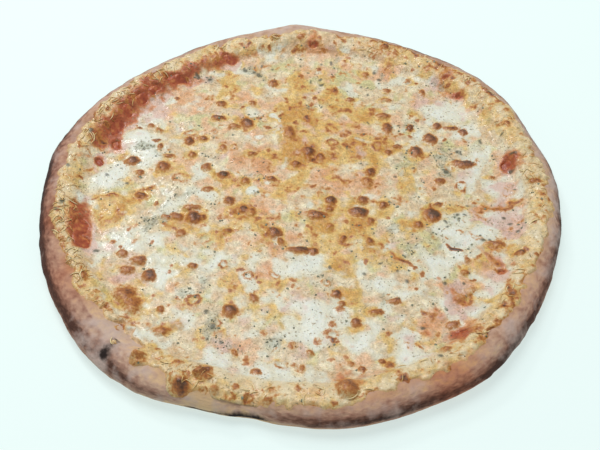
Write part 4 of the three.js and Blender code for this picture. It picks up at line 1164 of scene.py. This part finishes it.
torn = grainy(tree, place, TEAR_GRAIN, 1.2)
broad = grainy(tree, place, BASE_GRAIN, 3.0)
colour = mixed(tree, ranged(tree, broad, BASE_SPAN), *BASE_COLOURS)
broken = add(tree, "ShaderNodeMath", {"operation": "SUBTRACT"}, {0: torn, 1: 0.5})
for name, fray, low, high, hex_colour, most in WASHES:
    ragged = plus(tree, broken, fray, field_of(tree, name))
    amount = ranged(tree, ragged, (low, high), most, ease="SMOOTHSTEP")
    colour = mixed(tree, amount, colour, hex_colour)
lively = ranged(tree, field_of(tree, "milk"), CALM_SPAN, CALM, 1.0)
for grain, darkest, lightest in MOTTLINGS:
    mottle = grainy(tree, place, grain / MOTTLE_FINENESS, 2.0)
    mottle = ranged(tree, mottle, MOTTLE_SPAN, lightest, darkest)
    colour = mixed(tree, lively, colour, mottle, "MULTIPLY")
gritty = plus(tree, field_of(tree, "mould"), GRIT_WEIGHT, grainy(tree, place, GRIT_GRAIN, 1.0))
colour = mixed(tree, ranged(tree, gritty, GRIT_SPAN, GRIT_MOST), colour, GRIT_COLOUR)
crackle = add(tree, "ShaderNodeMath", {"operation": "SUBTRACT"}, {0: fine, 1: 0.5})
toasted = plus(tree, crackle, TOAST_RAGGEDNESS, field_of(tree, "toast"))
amount = ranged(tree, toasted, TOAST_SPAN, TOAST_MOST, ease="SMOOTHSTEP")
colour = mixed(tree, amount, colour, ramped(tree, toasted, TOAST_COLOURS))
dark = ranged(tree, field_of(tree, "speck"), SPECK_SPAN, SPECK_MOST)
colour = mixed(tree, dark, colour, SPECK_COLOUR)
dimpled = dented(tree, middling, 0.8, DIMPLE_DEPTH)
dimpled = dented(tree, fine, 0.8, SKIN_DEPTH, dimpled)
end_surface(tree, {
    "Base Color": colour, "Roughness": ranged(tree, middling, GLOSS_SPAN, DULLEST, GLOSSIEST),
    "Specular IOR Level": 0.45, "Coat Weight": 0.15, "Coat Roughness": 0.1,
    "Subsurface Weight": 0.1, "Subsurface Radius": (1.0, 0.7, 0.4), "Subsurface Scale": 1.2 * MM,
    "Normal": dimpled})

cheese = mesh_object("melted_cheese", corners - MIDDLE, faces, melted, cheese_fields)
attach(cheese, "root")
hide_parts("cheese")

# ---- Mould flecks ----
# Crumbs of the blue cheese's mould, grey green to nearly black, half sunk in the melted layer.
# One small lump is strewn over the cheese, thickest where its attribute "mould" is high.
FLECK_SQUASH = 0.45
FLECK_LUMPINESS = 0.25
FLECK_PLACE = {"Field": "mould", "Least": 0.15, "Density": 9e4, "Smallest": 0.35 * MM,
               "Largest": 0.95 * MM, "Seed": 5}
STREWING_INPUTS = {"Surface": "Geometry", "Shape": "Object", "Field": "String", "Least": "Float",
                   "Density": "Float", "Smallest": "Float", "Largest": "Float", "Seed": "Int",
                   "Stuff": "Material"}
FULL_FIELD = 1.6  # where a field is this high, pieces lie at the full density


def strewing_tree():
    """A tree that strews a shape over a surface, thickest where the surface's field is high."""
    tree = bpy.data.node_groups.new("strewing", "GeometryNodeTree")
    for name, kind in STREWING_INPUTS.items():
        tree.interface.new_socket(name, in_out="INPUT", socket_type="NodeSocket" + kind)
    tree.interface.new_socket("Pieces", in_out="OUTPUT", socket_type="NodeSocketGeometry")
    given = add(tree, "NodeGroupInput").outputs
    field = add(tree, "GeometryNodeInputNamedAttribute", {"data_type": "FLOAT"}, {"Name": given["Field"]})
    share = ranged(tree, field, (given["Least"], FULL_FIELD), given["Density"])
    points = add(tree, "GeometryNodeDistributePointsOnFaces", {}, {
        "Mesh": given["Surface"], "Density": share, "Seed": given["Seed"]})
    spin = add(tree, "FunctionNodeRandomValue", {"data_type": "FLOAT_VECTOR"}, {
        "Min": (0, 0, 0), "Max": (0, 0, 2 * math.pi), "Seed": given["Seed"]})
    turned_by = add(tree, "FunctionNodeRotateRotation", {"rotation_space": "LOCAL"}, {
        "Rotation": points.outputs["Rotation"], "Rotate By": spin})
    sizes = add(tree, "FunctionNodeRandomValue", {"data_type": "FLOAT"}, {
        "Min": given["Smallest"], "Max": given["Largest"], "Seed": given["Seed"]})
    shape = add(tree, "GeometryNodeObjectInfo", {}, {"Object": given["Shape"]})
    pieces = add(tree, "GeometryNodeInstanceOnPoints", {}, {
        "Points": points, "Instance": shape.outputs["Geometry"], "Rotation": turned_by, "Scale": sizes})
    tone = add(tree, "FunctionNodeRandomValue", {"data_type": "FLOAT"}, {"Seed": given["Seed"]})
    pieces = add(tree, "GeometryNodeStoreNamedAttribute", {"data_type": "FLOAT", "domain": "INSTANCE"}, {
        "Geometry": pieces, "Name": "tone", "Value": tone})
    pieces = add(tree, "GeometryNodeRealizeInstances", {}, {"Geometry": pieces})
    pieces = add(tree, "GeometryNodeSetMaterial", {}, {"Geometry": pieces, "Material": given["Stuff"]})
    add(tree, "NodeGroupOutput", {}, {"Pieces": pieces})
    return tree


def strewn(name, surface, shape, stuff, place):
    """One plain mesh object of copies of the shape strewn over the surface."""
    made = bpy.data.objects.new(name, surface.data.copy())
    bpy.context.scene.collection.objects.link(made)
    modifier = made.modifiers.new("strewing", "NODES")
    modifier.node_group = strewing
    inputs = (item for item in strewing.interface.items_tree if item.in_out == "INPUT")
    sockets = {item.name: item.identifier for item in inputs}
    for socket, value in {"Shape": shape, "Stuff": stuff, **place}.items():
        modifier[sockets[socket]] = value
    whole = made.evaluated_get(bpy.context.evaluated_depsgraph_get())
    plain = bpy.data.meshes.new_from_object(whole)
    made.modifiers.clear()
    made.data = plain
    bpy.data.objects.remove(shape)
    return made


def toned(name, colours, sockets):
    """A material whose colour each strewn piece draws from a list by its own tone."""
    material = new_material(name)
    tree = material.node_tree
    ramp = ramped(tree, field_of(tree, "tone"), colours)
    end_surface(tree, {"Base Color": ramp, **sockets})
    return material


strewing = strewing_tree()
lump = bmesh.new()
bmesh.ops.create_icosphere(lump, subdivisions=1, radius=1.0)
lump_corners = np.array([corner.co for corner in lump.verts])
lump_faces = [[corner.index for corner in face.verts] for face in lump.faces]
lump.free()
lump_corners = lump_corners * (1 + FLECK_LUMPINESS * np.sin(np.arange(len(lump_corners)) * 2.4))[:, None]
lump_corners[:, 2] *= FLECK_SQUASH

# Blue mould in melted cheese: moist and dull.
FLECK_COLOURS = [(0.0, "#3f4437"), (0.5, "#636753"), (1.0, "#8b8c76")]
mould_stuff = toned("blue_cheese_mould", FLECK_COLOURS, {"Roughness": 0.5, "Specular IOR Level": 0.4})

fleck = mesh_object("one_fleck", lump_corners / MM, lump_faces, mould_stuff)
flecks = strewn("mould_flecks", cheese, fleck, mould_stuff, FLECK_PLACE)
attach(flecks, "root")

# ---- Toasted shreds ----
# Ends of grated cheese that stayed on the rim and crisped there: thin curls, cream to brown,
# strewn over the cheese's lap, thickest where its attribute "shred" is high.
CURL = [(-0.5, -0.03, 0.02), (-0.25, 0.04, 0.06), (0.0, 0.05, 0.08), (0.25, 0.0, 0.06),
        (0.5, -0.08, 0.02)]  # its spine, in shares of its length, as its thickness is
CURL_THICKNESS = 0.055
CURL_BLUNTNESS = 0.35
SHRED_PLACE = {"Field": "shred", "Least": 0.2, "Density": 2.0e5, "Smallest": 2.0 * MM,
               "Largest": 6.5 * MM, "Seed": 8}

spine = smooth_line(CURL, 2)
taper = np.linspace(CURL_BLUNTNESS, math.pi - CURL_BLUNTNESS, len(spine))
half = CURL_THICKNESS * np.sin(taper)
across = np.gradient(spine, axis=0)[:, [1, 0, 2]] * np.array([-1, 1, 0])
across /= np.linalg.norm(across, axis=1, keepdims=True)
upward = np.array([0, 0, 1.0])
corners = np.stack([spine + half[:, None] * side for side in (across, upward, -across, -upward)], axis=1)
row, side = np.meshgrid(np.arange(len(spine) - 1), np.arange(4), indexing="ij")
here = 4 * row
above = here + 4
beside = (side + 1) % 4
faces = np.stack([here + beside, here + side, above + side, above + beside], axis=-1).reshape(-1, 4)
far_end = 4 * (len(spine) - 1)
faces = np.concatenate([faces, [[0, 1, 2, 3], [far_end + 3, far_end + 2, far_end + 1, far_end]]])

# Cheese dried and browned by the fire: a little glossy.
SHRED_COLOURS = [(0.0, "#8a5527"), (0.35, "#c08b4a"), (0.65, "#dcb777"), (1.0, "#ecd9a8")]
shred_stuff = toned("crisped_cheese", SHRED_COLOURS, {"Roughness": 0.45, "Specular IOR Level": 0.5})

curl = mesh_object("one_curl", corners.reshape(-1, 3) / MM, faces, shred_stuff)
shreds = strewn("toasted_shreds", cheese, curl, shred_stuff, SHRED_PLACE)
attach(shreds, "root")

# ---- Sizes ----
low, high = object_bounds()
